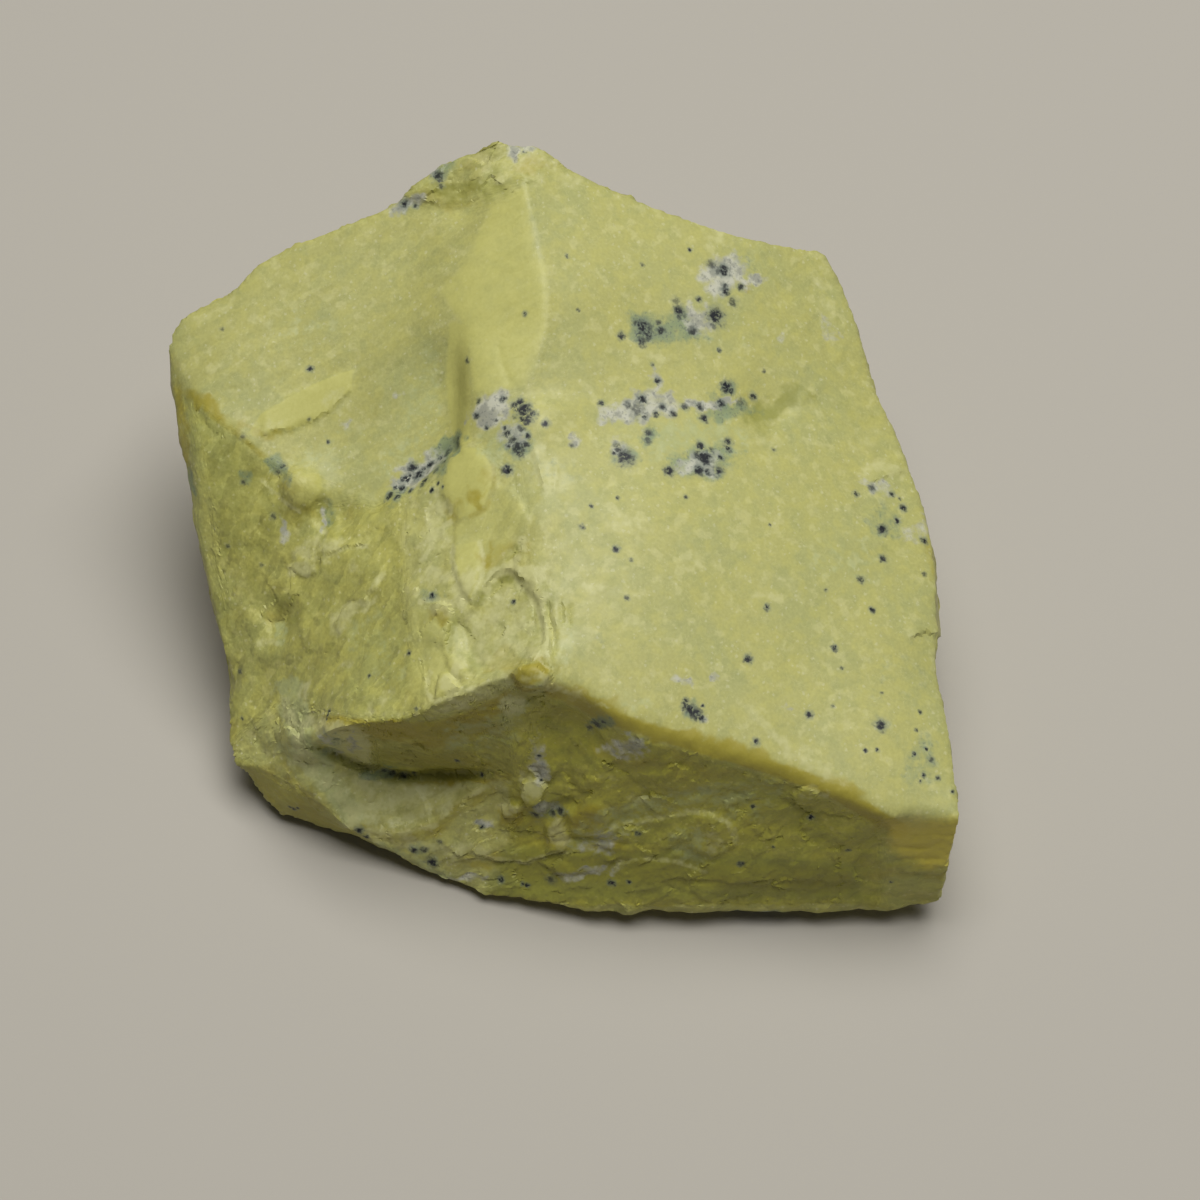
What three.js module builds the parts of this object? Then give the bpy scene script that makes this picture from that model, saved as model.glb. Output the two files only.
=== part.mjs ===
// A hand specimen of serpentine: one broken, unworn piece of waxy green rock that
// lies on a small flat spot. Millimetres, +Z up. x runs to the right, y to the back.
//
// The stone is drawn as a coarse cage of corner points, one group of polygons for
// each break surface. The cage is then split finer twice. Edges between two groups
// stay crisp, as the edges of fresh breaks are, and edges inside a group are eased
// into one gently curved face. Last come small lumps, dents and ledges.

import * as THREE from 'three';
import { ImprovedNoise } from 'three/addons/math/ImprovedNoise.js';

// ---------------------------------------------------------------- driving sizes

const WIDTH = 31.3;            // left tip to right edge
const DEPTH = 26.4;            // front foot to the back of the summit
const HEIGHT = 18.0;           // resting face to the summit

const SPLITS = 2;              // each split makes four triangles of one
const FACE_EASE = 0.5;         // how far a point inside a face moves to its neighbours' mean
const EDGE_EASE = 0.3;         // the same for a point on a crisp edge, along that edge
const WEAR = 0.12;             // the last, light rounding of every edge

// Unevenness of each break surface: the height of its lumps in mm. Serpentine breaks
// smooth across the waxy mass and rough along its veins and old joints.
const ROUGHNESS = {
  upperLeft: 0.08, chisel: 0.04, riser: 0.08, upperRight: 0.1, summitKnob: 0.4,
  crumbly: 0.3, leftFront: 0.42, leftSide: 0.15, ledgeLeft: 0.2, ledgeFace: 0.2,
  front: 0.35, chamfer: 0.12, leftUnder: 0.3, leftFoot: 0.2, right: 0.25,
  rightBack: 0.25, rightFoot: 0.2, backRightFace: 0.3, backLeftFace: 0.25, backFoot: 0.3,
  underFront: 0.12, underRight: 0.15, underBack: 0.2, underLeft: 0.2, rest: 0.0,
};
const BROAD_LUMP = 4.2;        // spacing of the broad lumps
const SMALL_LUMP = 1.7;        // spacing of the small lumps on top of them
const SMALL_SHARE = 0.5;       // height of the small lumps against the broad ones

// ---------------------------------------------------------------- corner points

// Each point is [x, y, z].
const POINTS = {
  // Back rim, from the left tip up to the summit.
  tip: [-16.0, 7.1, 10.9], tipBack: [-15.5, 8.1, 11.6], step: [-13.2, 8.5, 12.3],
  rimA: [-12.5, 9.6, 13.0], rimB: [-10.6, 10.1, 13.8], rimC: [-8.5, 10.6, 14.6],
  rimD: [-6.6, 10.9, 15.3], rimE: [-5.7, 11.4, 15.9], rimF: [-4.6, 12.0, 16.8],
  summit: [-2.7, 12.2, 18.0], notch: [-2.1, 12.1, 17.4], summit2: [-1.2, 12.3, 17.6],

  // Back rim and right rim, from the summit down to the front right corner.
  rimG: [-0.2, 11.6, 16.9], rimH: [0.6, 11.4, 16.5], rimI: [2.9, 10.8, 15.6],
  rimJ: [5.3, 10.4, 14.7], rimK: [8.4, 10.2, 13.4], backRight: [10.6, 10.9, 12.2],
  rimL: [11.5, 9.3, 11.5], rimM: [12.3, 7.0, 10.8], rimN: [12.5, 5.9, 10.3],
  rimO: [13.4, 3.9, 9.7], rimP: [14.4, 0.7, 9.1], rimQ: [14.8, -1.6, 8.8],
  rimR: [14.8, -5.1, 8.4], rimS: [14.9, -7.7, 8.0], rimT: [15.1, -10.4, 7.6],
  frontRight: [15.2, -12.4, 7.3],

  // Upper left face: smooth and slightly hollow.
  a1: [-13.3, 5.8, 11.6], a2: [-9.5, 7.5, 13.2], a3: [-6.3, 7.3, 13.9],
  a4: [-8.5, 4.6, 12.2], a5: [-11.3, 3.9, 11.3], a6: [-8.9, 2.4, 10.9],
  a7: [-6.2, 3.0, 12.0], knobFoot: [-5.0, 10.3, 15.6],

  // Rough knob at the summit.
  knobMid: [-3.8, 10.9, 16.4],

  // Chisel-shaped facet below the summit, and the riser on its left.
  e1: [-1.7, 10.3, 17.4], e2: [-3.0, 9.8, 16.6], e3: [-4.5, 6.9, 15.2],
  e4: [-4.2, 5.4, 14.8], e5: [-3.8, 2.5, 14.3], e6: [-0.8, 4.6, 15.7],
  e7: [-1.6, 2.6, 14.9], e8: [-0.8, 5.7, 16.2], e9: [-1.2, 8.3, 16.9],
  f2: [-4.3, 3.6, 12.9], f3: [-4.3, 1.6, 12.4],

  // Front rim of the upper left face, ending in the groove.
  r1: [-15.0, 5.2, 10.8], r2: [-13.9, 3.5, 10.9], r3: [-12.8, 2.8, 10.9],
  r4: [-11.2, 1.8, 10.3], rimLump: [-10.5, 0.7, 10.5], r5: [-9.1, 0.2, 10.1],
  r6: [-7.6, -0.6, 10.4], groove1: [-7.1, 0.0, 10.8], groove2: [-5.6, 1.0, 11.6],

  // Large upper right face.
  b0: [-0.6, 1.6, 14.8], b1: [3.0, 7.0, 15.0], b2: [7.5, 7.0, 13.3],
  b3: [2.8, 2.3, 13.6], b4: [7.0, 3.3, 12.3], b5: [9.3, 4.0, 11.4],
  b6: [4.5, -2.5, 12.9], b7: [9.5, -1.0, 11.1], b8: [2.2, -6.0, 12.7],
  b9: [7.5, -6.5, 10.9], b10: [11.5, -5.5, 9.6], b11: [12.5, -10.0, 8.6],

  // Crumbly patch on the crest between the upper right face and the left front face.
  g1: [-4.1, 0.8, 13.3], g2: [-2.8, 0.1, 13.7], g3: [-2.3, -2.1, 13.3],
  g4: [-4.4, -2.4, 12.4], g5: [-5.6, -1.1, 11.8], nugget: [-5.0, -0.7, 12.6],
  g6: [-6.1, -3.1, 11.2], g7: [-5.4, -4.8, 11.2], g8: [-3.5, -5.3, 12.0],
  g9: [-2.7, -3.9, 12.6], g10: [-5.3, -6.3, 10.6], g11: [-2.9, -7.4, 11.4],
  crest1: [-0.8, -0.1, 14.2], crest2: [-0.4, -2.8, 13.8], crest3: [-1.0, -4.9, 13.3],
  crest4: [-0.7, -6.8, 12.7],

  // Small knob where the crest meets the front edge.
  knobTop: [-1.7, -8.6, 12.9], knobLeft: [-2.3, -8.6, 12.0], knobRight: [-0.9, -9.1, 12.3],

  // Front edge, from the small knob to the front right corner.
  q1: [0.1, -9.1, 12.0], q2: [1.8, -10.3, 11.4], q3: [4.9, -10.6, 10.3],
  q4: [8.8, -11.4, 9.1], q5: [10.7, -12.0, 8.5], q6: [12.1, -12.6, 7.9],
  q7: [12.7, -12.7, 7.7], q8: [13.5, -12.3, 7.6],

  // Ledge at the foot of the left front face.
  p1: [-3.1, -8.6, 11.6], p2: [-5.0, -8.9, 10.5], p3: [-6.5, -9.2, 9.4],
  p4: [-7.7, -8.9, 8.8], p5: [-9.1, -8.6, 7.8],

  // Left front face.
  d1: [-11.1, -1.5, 8.6], d2: [-11.0, -4.4, 6.4], d3: [-11.2, -6.2, 5.2],
  d4: [-8.5, -2.0, 9.8], d5: [-8.3, -5.5, 8.7], d6: [-8.8, -7.5, 7.9],

  t1: [-13.4, 1.3, 9.3], t2: [-12.9, -1.3, 7.6], t3: [-12.4, -3.6, 6.0],

  // Left side, down its front edge and down its outer edge.
  s1: [-14.8, 2.8, 9.8], s2: [-14.6, 1.2, 8.7], s3: [-14.4, -0.2, 7.4],
  l1: [-15.5, 4.0, 9.4], l2: [-14.9, 0.9, 7.9], l3: [-14.3, -1.1, 6.6],
  l4: [-13.7, -3.6, 5.0], l5: [-13.1, -4.8, 3.8], l6: [-13.5, -5.4, 3.4],
  l7: [-13.6, -6.7, 2.6],

  // Crack below the ledge, and the lower lump in front of it.
  c1: [-10.3, -7.9, 5.0], c2: [-7.7, -8.5, 3.8], c3: [-6.8, -8.6, 3.4],
  c4: [-4.9, -8.6, 3.6], c5: [-3.0, -9.5, 5.6], h1: [-10.1, -8.4, 4.2],
  h2: [-1.9, -10.4, 5.0], h3: [-6.7, -10.5, 2.2], h4: [-5.3, -10.5, 2.9],
  h5: [-4.1, -10.1, 4.2], u1: [-13.4, -7.4, 2.2], u2: [-12.1, -7.8, 2.8],
  u3: [-10.1, -9.2, 3.3], u4: [-8.8, -10.2, 2.3], u5: [-6.8, -10.9, 1.2],
  u6: [-5.1, -11.5, 0.6],

  // Front face.
  n1: [-1.9, -9.1, 8.6], n2: [2.0, -10.9, 7.0], n3: [6.0, -11.6, 6.0],
  n4: [10.5, -12.4, 5.0], n5: [1.3, -12.3, 3.5], n6: [6.0, -12.7, 3.0],
  n7: [15.1, -12.9, 5.0], n8: [15.0, -13.3, 3.0],

  // Foot, all the way round from the front left.
  v1: [-12.7, -7.6, 1.4], v2: [-12.2, -8.3, 0.9], v3: [-11.6, -8.8, 0.6],
  v4: [-9.9, -9.3, 0.5], v5: [-8.2, -9.8, 0.5], v6: [-5.4, -11.0, 0.2],
  w1: [-3.0, -12.5, 0.6], w2: [1.4, -13.5, 1.0], w3: [7.7, -13.5, 1.0],
  w4: [13.4, -13.5, 1.0], w5: [15.1, -13.3, 1.5], y4: [14.0, -9.5, 1.5],
  y3: [13.0, -3.0, 2.0], y2: [11.4, 3.5, 2.3], y1: [9.0, 7.8, 2.7],
  z1: [4.3, 8.6, 3.1], z2: [-1.6, 9.5, 2.8], z3: [-7.0, 7.6, 3.4],
  i1: [-12.2, 5.0, 3.8], i2: [-11.9, 0.8, 2.7], i3: [-11.9, -3.5, 1.7],

  // Belly of the right side, the back and the left side.
  x1: [11.9, 9.9, 6.0], x2: [13.9, 4.6, 5.2], x3: [15.3, -0.5, 4.6],
  x4: [15.4, -7.5, 4.0], k1: [8.9, 11.1, 9.8], k2: [3.9, 11.8, 11.6],
  k3: [-1.9, 13.0, 13.2], k4: [-6.4, 12.1, 12.0], k5: [-11.2, 10.5, 9.6],
  j1: [6.8, 11.3, 5.8], j2: [-0.6, 12.8, 6.2], j3: [-5.8, 11.4, 6.6],
  j4: [-11.2, 9.2, 5.4], m1: [-15.3, 6.5, 6.2], m2: [-14.9, 2.5, 4.6],
  m3: [-13.8, -1.8, 3.0],

  // Resting face.
  o0: [0.5, -3.0, 0.0], o1: [-7.2, -7.0, 0.0], o2: [-3.0, -9.4, 0.0],
  o3: [3.7, -10.2, 0.0], o4: [9.6, -9.0, 0.0], o5: [10.3, -3.0, 0.0],
  o6: [7.8, 2.4, 0.0], o7: [2.5, 4.3, 0.0], o8: [-3.6, 3.2, 0.0], o9: [-7.6, -1.5, 0.0],
};

// ---------------------------------------------------------------- break surfaces

// Each polygon is a list of point names, anticlockwise as seen from outside.
const SURFACES = {
  upperLeft: [
    'tipBack tip r1 a1', 'step tipBack a1', 'rimA step a1 a2', 'rimB rimA a2',
    'rimC rimB a2', 'rimC a2 a3', 'rimD rimC a3', 'rimD a3 knobFoot',
    'knobFoot a3 e3', 'e2 knobFoot e3', 'a1 r1 r2 a5', 'a5 r2 r3', 'a2 a1 a5 a4',
    'a3 a2 a4', 'e3 a3 a4 e4', 'a5 r3 r4 a6', 'a6 r4 rimLump r5', 'a6 r5 r6 groove1',
    'a4 a5 a6 a7', 'a7 a6 groove1 groove2', 'f3 a7 groove2', 'f2 a7 f3', 'e4 a4 a7 f2',
  ],
  summitKnob: [
    'rimE rimD knobFoot', 'rimF rimE knobFoot knobMid', 'knobMid knobFoot e2',
    'summit rimF knobMid', 'notch summit knobMid e1', 'e1 knobMid e2',
    'summit2 notch e1', 'rimG summit2 e1',
  ],
  chisel: ['e9 e1 e2', 'e9 e2 e3 e8', 'e8 e3 e4', 'e8 e4 e6', 'e6 e4 e5 e7'],
  riser: ['e4 f2 e5', 'e5 f2 f3 g1'],
  upperRight: [
    'rimH rimG e1 e9', 'rimI rimH e9 b1', 'rimJ rimI b1', 'rimJ b1 b2', 'rimK rimJ b2',
    'backRight rimK b2', 'backRight b2 rimL', 'rimL b2 rimM', 'b1 e9 e8', 'b1 e8 e6 b3',
    'b3 e6 e7 b0 crest1', 'b2 b1 b3 b4', 'b2 b4 b5', 'rimM b2 b5 rimN', 'rimO rimN b5',
    'b3 crest1 crest2 b6', 'b4 b3 b6', 'b5 b4 b6 b7', 'rimO b5 b7 rimP', 'rimQ rimP b7',
    'b6 crest2 crest3 b8', 'b8 crest3 crest4', 'b9 b6 b8', 'b7 b6 b9', 'b10 b7 b9',
    'rimQ b7 b10 rimR', 'rimS rimR b10', 'b8 crest4 knobRight q1', 'b8 q1 q2',
    'b9 b8 q2 q3', 'b9 q3 q4', 'b10 b9 q4 b11', 'rimS b10 b11', 'rimT rimS b11',
    'b11 q4 q5', 'b11 q5 q6', 'b11 q6 q7 q8', 'rimT b11 q8 frontRight',
  ],
  crumbly: [
    'e7 e5 g1 g2', 'e7 g2 crest1 b0', 'g1 f3 groove2 nugget',
    'nugget groove2 groove1 g5', 'g2 g1 nugget g4', 'g3 g2 g4', 'crest1 g2 g3 crest2',
    'g4 nugget g5', 'g4 g5 g6', 'g9 g3 g4', 'g9 g4 g6 g7 g8', 'crest3 crest2 g3 g9',
    'crest3 g9 g8', 'crest4 crest3 g8 g11', 'g8 g7 g10 g11', 'g11 g10 p2 p1',
    'g11 p1 knobLeft', 'crest4 g11 knobLeft knobTop', 'crest4 knobTop knobRight',
    'knobTop knobLeft knobRight',
  ],
  leftFront: [
    'rimLump r4 d1', 'r5 rimLump d1 d4', 'r6 r5 d4', 'g5 groove1 r6 d4 g6', 'g6 d4 d5 g7',
    'd4 d1 d2 d5', 'g10 g7 d5', 'g10 d5 p3 p2', 'd5 d6 p4 p3', 'd6 p5 p4',
    'd5 d2 d3 d6', 'd6 d3 c1 p5', 'c1 d3 u2 h1', 'h1 u2 u3', 'c2 c1 h1', 'c3 c2 h1 u4', 'h1 u3 u4',
    'h3 c3 u4', 'h4 c4 c3 h3', 'h5 c5 c4 h4', 'r2 r1 s1 s2 t1',
    'r3 r2 t1', 'r4 r3 t1', 't2 t1 s2 s3', 't3 t2 s3 l3 l4', 'l5 t3 l4', 'd1 r4 t1 t2',
    'd2 d1 t2 t3', 'd3 d2 t3 l5', 'd3 l5 l6 l7', 'd3 l7 u1 u2',
  ],
  leftSide: [
    'r1 tip l1', 's1 r1 l1', 's2 s1 l1 l2', 's3 s2 l2', 'l3 s3 l2',
  ],
  ledgeLeft: ['p4 p5 c1 c2'],
  ledgeFace: ['p4 c2 c3', 'p3 p4 c3 c4', 'p3 c4 c5'],
  front: [
    'p2 p3 c5', 'p1 p2 c5', 'knobLeft p1 c5 n1', 'knobRight knobLeft n1',
    'q1 knobRight n1 n2', 'q2 q1 n2', 'q3 q2 n2 n3', 'q4 q3 n3',
    'q5 q4 n3 n4', 'q6 q5 n4', 'q7 q6 n4', 'q8 q7 n4 n7', 'frontRight q8 n7',
    'n2 n1 c5 h2', 'h2 c5 h5', 'h2 h5 h4 u6', 'h3 u4 u5', 'h4 h3 u5 u6',
    'n2 h2 u6 n5', 'n3 n2 n5 n6', 'n4 n3 n6', 'n4 n6 w3 w4',
    'n7 n4 w4 n8', 'n8 w4 w5', 'n5 u6 w1 w2', 'n6 n5 w2 w3',
  ],
  chamfer: [
    'u2 u1 v1 v2', 'u3 u2 v2 v3', 'u3 v3 v4', 'u4 u3 v4 v5', 'u5 u4 v5 v6', 'u6 u5 v6 w1',
  ],
  leftUnder: [
    'l1 tip m1', 'l2 l1 m1 m2', 'l3 l2 m2', 'l3 m2 m3', 'l4 l3 m3', 'l5 l4 m3',
    'l6 l5 m3 i3', 'l7 l6 i3', 'u1 l7 i3 v1',
  ],
  leftFoot: ['m2 m1 i1 i2', 'm3 m2 i2 i3'],
  rightBack: [
    'backRight rimL x1', 'rimL rimM x1', 'rimM rimN x2 x1', 'rimN rimO x2',
    'rimO rimP x3 x2',
  ],
  right: [
    'rimP rimQ x3', 'rimQ rimR x4 x3', 'rimR rimS x4', 'rimS rimT x4',
    'rimT frontRight n7 x4', 'x4 n7 n8',
  ],
  rightFoot: ['x4 n8 w5 y4', 'x1 x2 y2 y1', 'x2 x3 y3 y2', 'x3 x4 y4 y3'],
  backRightFace: [
    'rimK backRight k1', 'backRight x1 k1', 'rimJ rimK k1', 'rimJ k1 k2', 'rimI rimJ k2',
    'rimH rimI k2', 'rimG rimH k2', 'rimG k2 k3', 'summit2 rimG k3', 'notch summit2 k3',
    'summit notch k3', 'k1 x1 j1', 'k2 k1 j1', 'k2 j1 j2', 'k3 k2 j2',
  ],
  backLeftFace: [
    'rimF summit k3', 'rimF k3 k4', 'rimE rimF k4', 'rimD rimE k4', 'rimC rimD k4',
    'rimC k4 k5', 'rimB rimC k5', 'rimA rimB k5', 'step rimA k5', 'tipBack step k5',
    'tipBack k5 m1', 'tip tipBack m1', 'k3 j2 j3', 'k4 k3 j3', 'k4 j3 j4', 'k5 k4 j4',
    'k5 j4 m1',
  ],
  backFoot: [
    'j1 x1 y1 z1', 'j2 j1 z1 z2', 'j3 j2 z2 z3', 'j4 j3 z3', 'j4 z3 i1', 'm1 j4 i1',
  ],
  underFront: [
    'v2 v1 o1', 'v3 v2 o1', 'v4 v3 o1', 'v5 v4 o1', 'v5 o1 o2', 'v6 v5 o2', 'w1 v6 o2',
    'w1 o2 o3', 'w2 w1 o3', 'w3 w2 o3', 'w3 o3 o4', 'w4 w3 o4', 'w5 w4 o4',
  ],
  underRight: ['y4 w5 o4', 'y4 o4 o5', 'y3 y4 o5', 'y3 o5 o6', 'y2 y3 o6', 'y1 y2 o6'],
  underBack: [
    'y1 o6 o7', 'z1 y1 o7', 'z2 z1 o7', 'z2 o7 o8', 'z3 z2 o8', 'i1 z3 o8',
  ],
  underLeft: ['i1 o8 o9', 'i2 i1 o9', 'i3 i2 o9', 'i3 o9 o1', 'v1 i3 o1'],
  rest: [
    'o0 o2 o1', 'o0 o3 o2', 'o0 o4 o3', 'o0 o5 o4', 'o0 o6 o5', 'o0 o7 o6', 'o0 o8 o7',
    'o0 o9 o8', 'o0 o1 o9',
  ],
};

// Surfaces that round over into each other, with no edge between them.
const ROUNDED_BORDERS = ['chisel crumbly', 'crumbly leftFront', 'crumbly upperRight'];

// Hollows that a chip left, and lumps that stand proud where depth is negative.
const SCOOPS = [
  { at: [-5.6, 4.9, 13.3], radius: 2.4, depth: 0.35 },          // hollow beside the riser
  { at: [-4.2, 10.4, 16.1], radius: 1.3, depth: 0.3 },          // band under the summit knob
  { at: [8.0, 3.5, 12.0], radius: 1.5, depth: 0.2 },            // dent in the upper right face
  { at: [-8.9, -0.5, 10.0], radius: 1.1, depth: 0.4 },          // pit under the front rim
  { at: [-10.5, 0.8, 10.4], radius: 1.1, depth: -0.35 },        // lump on the front rim
  { at: [-11.7, -3.3, 6.9], radius: 1.3, depth: 0.4 },          // dent low on the left
  { at: [-10.6, -7.6, 5.0], radius: 1.5, depth: -0.35 },        // lump left of the crack
  { at: [-1.3, -10.2, 5.6], radius: 1.3, depth: -0.4 },         // lump right of the crack
  { at: [1.6, -10.9, 6.8], radius: 1.6, depth: -0.3 },          // lump on the front face
  { at: [0.6, -9.6, 9.6], radius: 1.6, depth: 0.3 },            // hollow on the front face
  { at: [5.2, -11.9, 5.3], radius: 2.4, depth: -0.3 },          // broad swell on the front face
  { at: [15.3, -5.5, 6.4], radius: 3.6, depth: 0.6 },           // shell break on the right side
  { at: [5.4, 11.6, 9.2], radius: 4.4, depth: 0.8 },            // shell break on the back
  { at: [-10.0, 10.6, 9.6], radius: 3.6, depth: 0.7 },          // shell break behind the left tip
  { at: [-13.6, 1.6, 3.4], radius: 2.6, depth: 0.5 },           // shell break under the left side
  { at: [1.6, 10.6, 4.0], radius: 2.6, depth: 0.5 },            // shell break at the back foot
];

// ---------------------------------------------------------------- cage and splits

// A shell is { points, triangles, surfaces, crisp }: points are Vector3, triangles
// hold three point numbers each, surfaces names the break surface of each triangle,
// and crisp is the set of edges that stay crisp.
const edgeKey = (a, b) => (a < b ? `${a}_${b}` : `${b}_${a}`);

function buildCage() {
  const names = Object.keys(POINTS);
  const points = names.map((name) => new THREE.Vector3(...POINTS[name]));
  const triangles = [];
  const surfaces = [];
  const surfaceOfEdge = new Map();
  const crisp = new Set();
  for (const [surface, polygons] of Object.entries(SURFACES)) {
    for (const polygon of polygons) {
      const ring = polygon.split(' ').map((name) => names.indexOf(name));
      for (let i = 2; i < ring.length; i += 1) {
        triangles.push([ring[0], ring[i - 1], ring[i]]);
        surfaces.push(surface);
      }
      ring.forEach((corner, i) => {
        const key = edgeKey(corner, ring[(i + 1) % ring.length]);
        const border = [surface, surfaceOfEdge.get(key) ?? surface].sort();
        if (border[0] !== border[1] && !ROUNDED_BORDERS.includes(border.join(' '))) {
          crisp.add(key);
        }
        surfaceOfEdge.set(key, surface);
      });
    }
  }
  return { points, triangles, surfaces, crisp };
}

// Splits every triangle into four. Each half of a crisp edge is a crisp edge.
function split(shell) {
  const points = shell.points.map((point) => point.clone());
  const crisp = new Set();
  const middles = new Map();
  const middle = (a, b) => {
    const key = edgeKey(a, b);
    if (!middles.has(key)) {
      middles.set(key, points.length);
      points.push(points[a].clone().lerp(points[b], 0.5));
      if (shell.crisp.has(key)) {
        crisp.add(edgeKey(a, middles.get(key)));
        crisp.add(edgeKey(b, middles.get(key)));
      }
    }
    return middles.get(key);
  };
  const triangles = shell.triangles.flatMap(([a, b, c]) => {
    const ab = middle(a, b);
    const bc = middle(b, c);
    const ca = middle(c, a);
    return [[a, ab, ca], [ab, b, bc], [ca, bc, c], [ab, bc, ca]];
  });
  const surfaces = shell.surfaces.flatMap((surface) => Array(4).fill(surface));
  return { points, triangles, surfaces, crisp };
}

function neighbours(shell) {
  const around = shell.points.map(() => new Set());
  for (const [a, b, c] of shell.triangles) {
    for (const [from, to] of [[a, b], [b, c], [c, a]]) {
      around[from].add(to);
      around[to].add(from);
    }
  }
  return around.map((set) => [...set]);
}

// Moves points towards the mean of their neighbours. A point on a crisp edge only
// looks along that edge, and a corner where crisp edges meet stays where it is.
function ease(shell, faceAmount, edgeAmount) {
  const around = neighbours(shell);
  const mean = (list) => list
    .reduce((sum, i) => sum.add(shell.points[i]), new THREE.Vector3())
    .divideScalar(list.length);
  const points = shell.points.map((point, i) => {
    const along = around[i].filter((j) => shell.crisp.has(edgeKey(i, j)));
    if (along.length === 2) return point.clone().lerp(mean(along), edgeAmount);
    if (along.length > 2) return point.clone();
    return point.clone().lerp(mean(around[i]), faceAmount);
  });
  return { ...shell, points };
}

// ---------------------------------------------------------------- lumps and hollows

function toGeometry(shell) {
  const geometry = new THREE.BufferGeometry();
  const positions = shell.points.flatMap((point) => [point.x, point.y, point.z]);
  geometry.setAttribute('position', new THREE.Float32BufferAttribute(positions, 3));
  geometry.setIndex(shell.triangles.flat());
  geometry.computeVertexNormals();
  return geometry;
}

function outwardDirections(shell) {
  const normals = toGeometry(shell).getAttribute('normal');
  return shell.points.map((_, i) => new THREE.Vector3().fromBufferAttribute(normals, i));
}

// A point takes the roughness of the smoothest surface that it belongs to, so that
// the edge of a smooth face stays true.
function roughnessAtPoints(shell) {
  const roughness = shell.points.map(() => Infinity);
  shell.triangles.forEach((triangle, t) => {
    for (const i of triangle) {
      roughness[i] = Math.min(roughness[i], ROUGHNESS[shell.surfaces[t]]);
    }
  });
  return roughness;
}

function lumpHeight(noise, point) {
  const at = (spacing) => noise.noise(
    point.x / spacing, point.y / spacing, point.z / spacing,
  );
  return at(BROAD_LUMP) + SMALL_SHARE * at(SMALL_LUMP);
}

function scoopDepth(point) {
  let depth = 0;
  for (const scoop of SCOOPS) {
    const reach = point.distanceTo(new THREE.Vector3(...scoop.at)) / scoop.radius;
    if (reach < 1) depth += scoop.depth * (1 - reach ** 2) ** 2;
  }
  return depth;
}

function roughen(shell) {
  const noise = new ImprovedNoise();
  const outward = outwardDirections(shell);
  const roughness = roughnessAtPoints(shell);
  const points = shell.points.map((point, i) => {
    if (roughness[i] === 0) return point.clone();
    const height = roughness[i] * lumpHeight(noise, point) - scoopDepth(point);
    return point.clone().addScaledVector(outward[i], height);
  });
  return { ...shell, points };
}

// Presses every point of the resting face to height zero.
function flattenRest(shell) {
  const points = shell.points.map((point) => point.clone());
  shell.triangles.forEach((triangle, t) => {
    if (shell.surfaces[t] !== 'rest') return;
    for (const i of triangle) points[i].z = 0;
  });
  return { ...shell, points };
}

// ---------------------------------------------------------------- the stone

// The frame's origin is the middle of the footprint box, on the resting face.
function centre(geometry) {
  geometry.computeBoundingBox();
  const middle = geometry.boundingBox.getCenter(new THREE.Vector3());
  geometry.translate(-middle.x, -middle.y, 0);
  return geometry;
}

function scaleToSize(geometry) {
  geometry.computeBoundingBox();
  const size = geometry.boundingBox.getSize(new THREE.Vector3());
  geometry.scale(WIDTH / size.x, DEPTH / size.y, HEIGHT / size.z);
  return geometry;
}

function buildStone() {
  let shell = buildCage();
  for (let round = 0; round < SPLITS; round += 1) {
    shell = ease(split(shell), FACE_EASE, EDGE_EASE);
  }
  shell = ease(shell, WEAR, WEAR);
  shell = ease({ ...shell, crisp: new Set() }, WEAR, WEAR);
  return centre(scaleToSize(toGeometry(flattenRest(roughen(shell)))));
}

const serpentine = new THREE.MeshStandardMaterial({
  color: 0xb4b16f,
  roughness: 0.45,
  metalness: 0.0,
});

const rock = new THREE.Mesh(buildStone(), serpentine);
rock.name = 'serpentine_rock';

const part = new THREE.Group();
part.add(rock);

export default part;
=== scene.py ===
# %% [markdown]
# # A hand specimen of serpentine
#
# The object is one broken piece of serpentine, about 31 mm wide: a waxy yellow-green rock with
# smooth break faces above, rough ones below, and black grains along a few veins. The solid model
# already holds its size and its main faces. This script gives that solid a fine surface and a
# finish. Lengths in the tables are in millimetres, and Blender's own unit here is the metre.

# %% Load the solid model
from collections import namedtuple
from math import radians

import bmesh
import bpy
import numpy as np
from mathutils import Matrix, Vector, noise
from mathutils.bvhtree import BVHTree


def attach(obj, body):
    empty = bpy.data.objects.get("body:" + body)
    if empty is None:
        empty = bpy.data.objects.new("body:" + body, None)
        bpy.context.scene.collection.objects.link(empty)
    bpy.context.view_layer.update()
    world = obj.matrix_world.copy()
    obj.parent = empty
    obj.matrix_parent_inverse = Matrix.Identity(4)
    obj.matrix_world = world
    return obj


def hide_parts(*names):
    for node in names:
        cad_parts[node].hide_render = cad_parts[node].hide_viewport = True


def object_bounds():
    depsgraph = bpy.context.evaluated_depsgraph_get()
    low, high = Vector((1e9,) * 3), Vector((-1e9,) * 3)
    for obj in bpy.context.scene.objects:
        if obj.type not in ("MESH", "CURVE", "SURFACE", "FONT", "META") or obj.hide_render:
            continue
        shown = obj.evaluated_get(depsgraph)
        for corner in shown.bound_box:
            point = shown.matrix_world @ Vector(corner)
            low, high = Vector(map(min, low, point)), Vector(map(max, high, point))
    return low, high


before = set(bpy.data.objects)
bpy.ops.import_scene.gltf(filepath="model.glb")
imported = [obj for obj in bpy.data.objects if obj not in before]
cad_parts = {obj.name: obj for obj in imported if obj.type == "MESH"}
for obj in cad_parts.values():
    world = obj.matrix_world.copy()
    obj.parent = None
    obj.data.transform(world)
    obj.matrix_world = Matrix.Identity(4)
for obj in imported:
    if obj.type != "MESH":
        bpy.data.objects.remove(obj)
cad_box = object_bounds()
MM = 0.001
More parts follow.
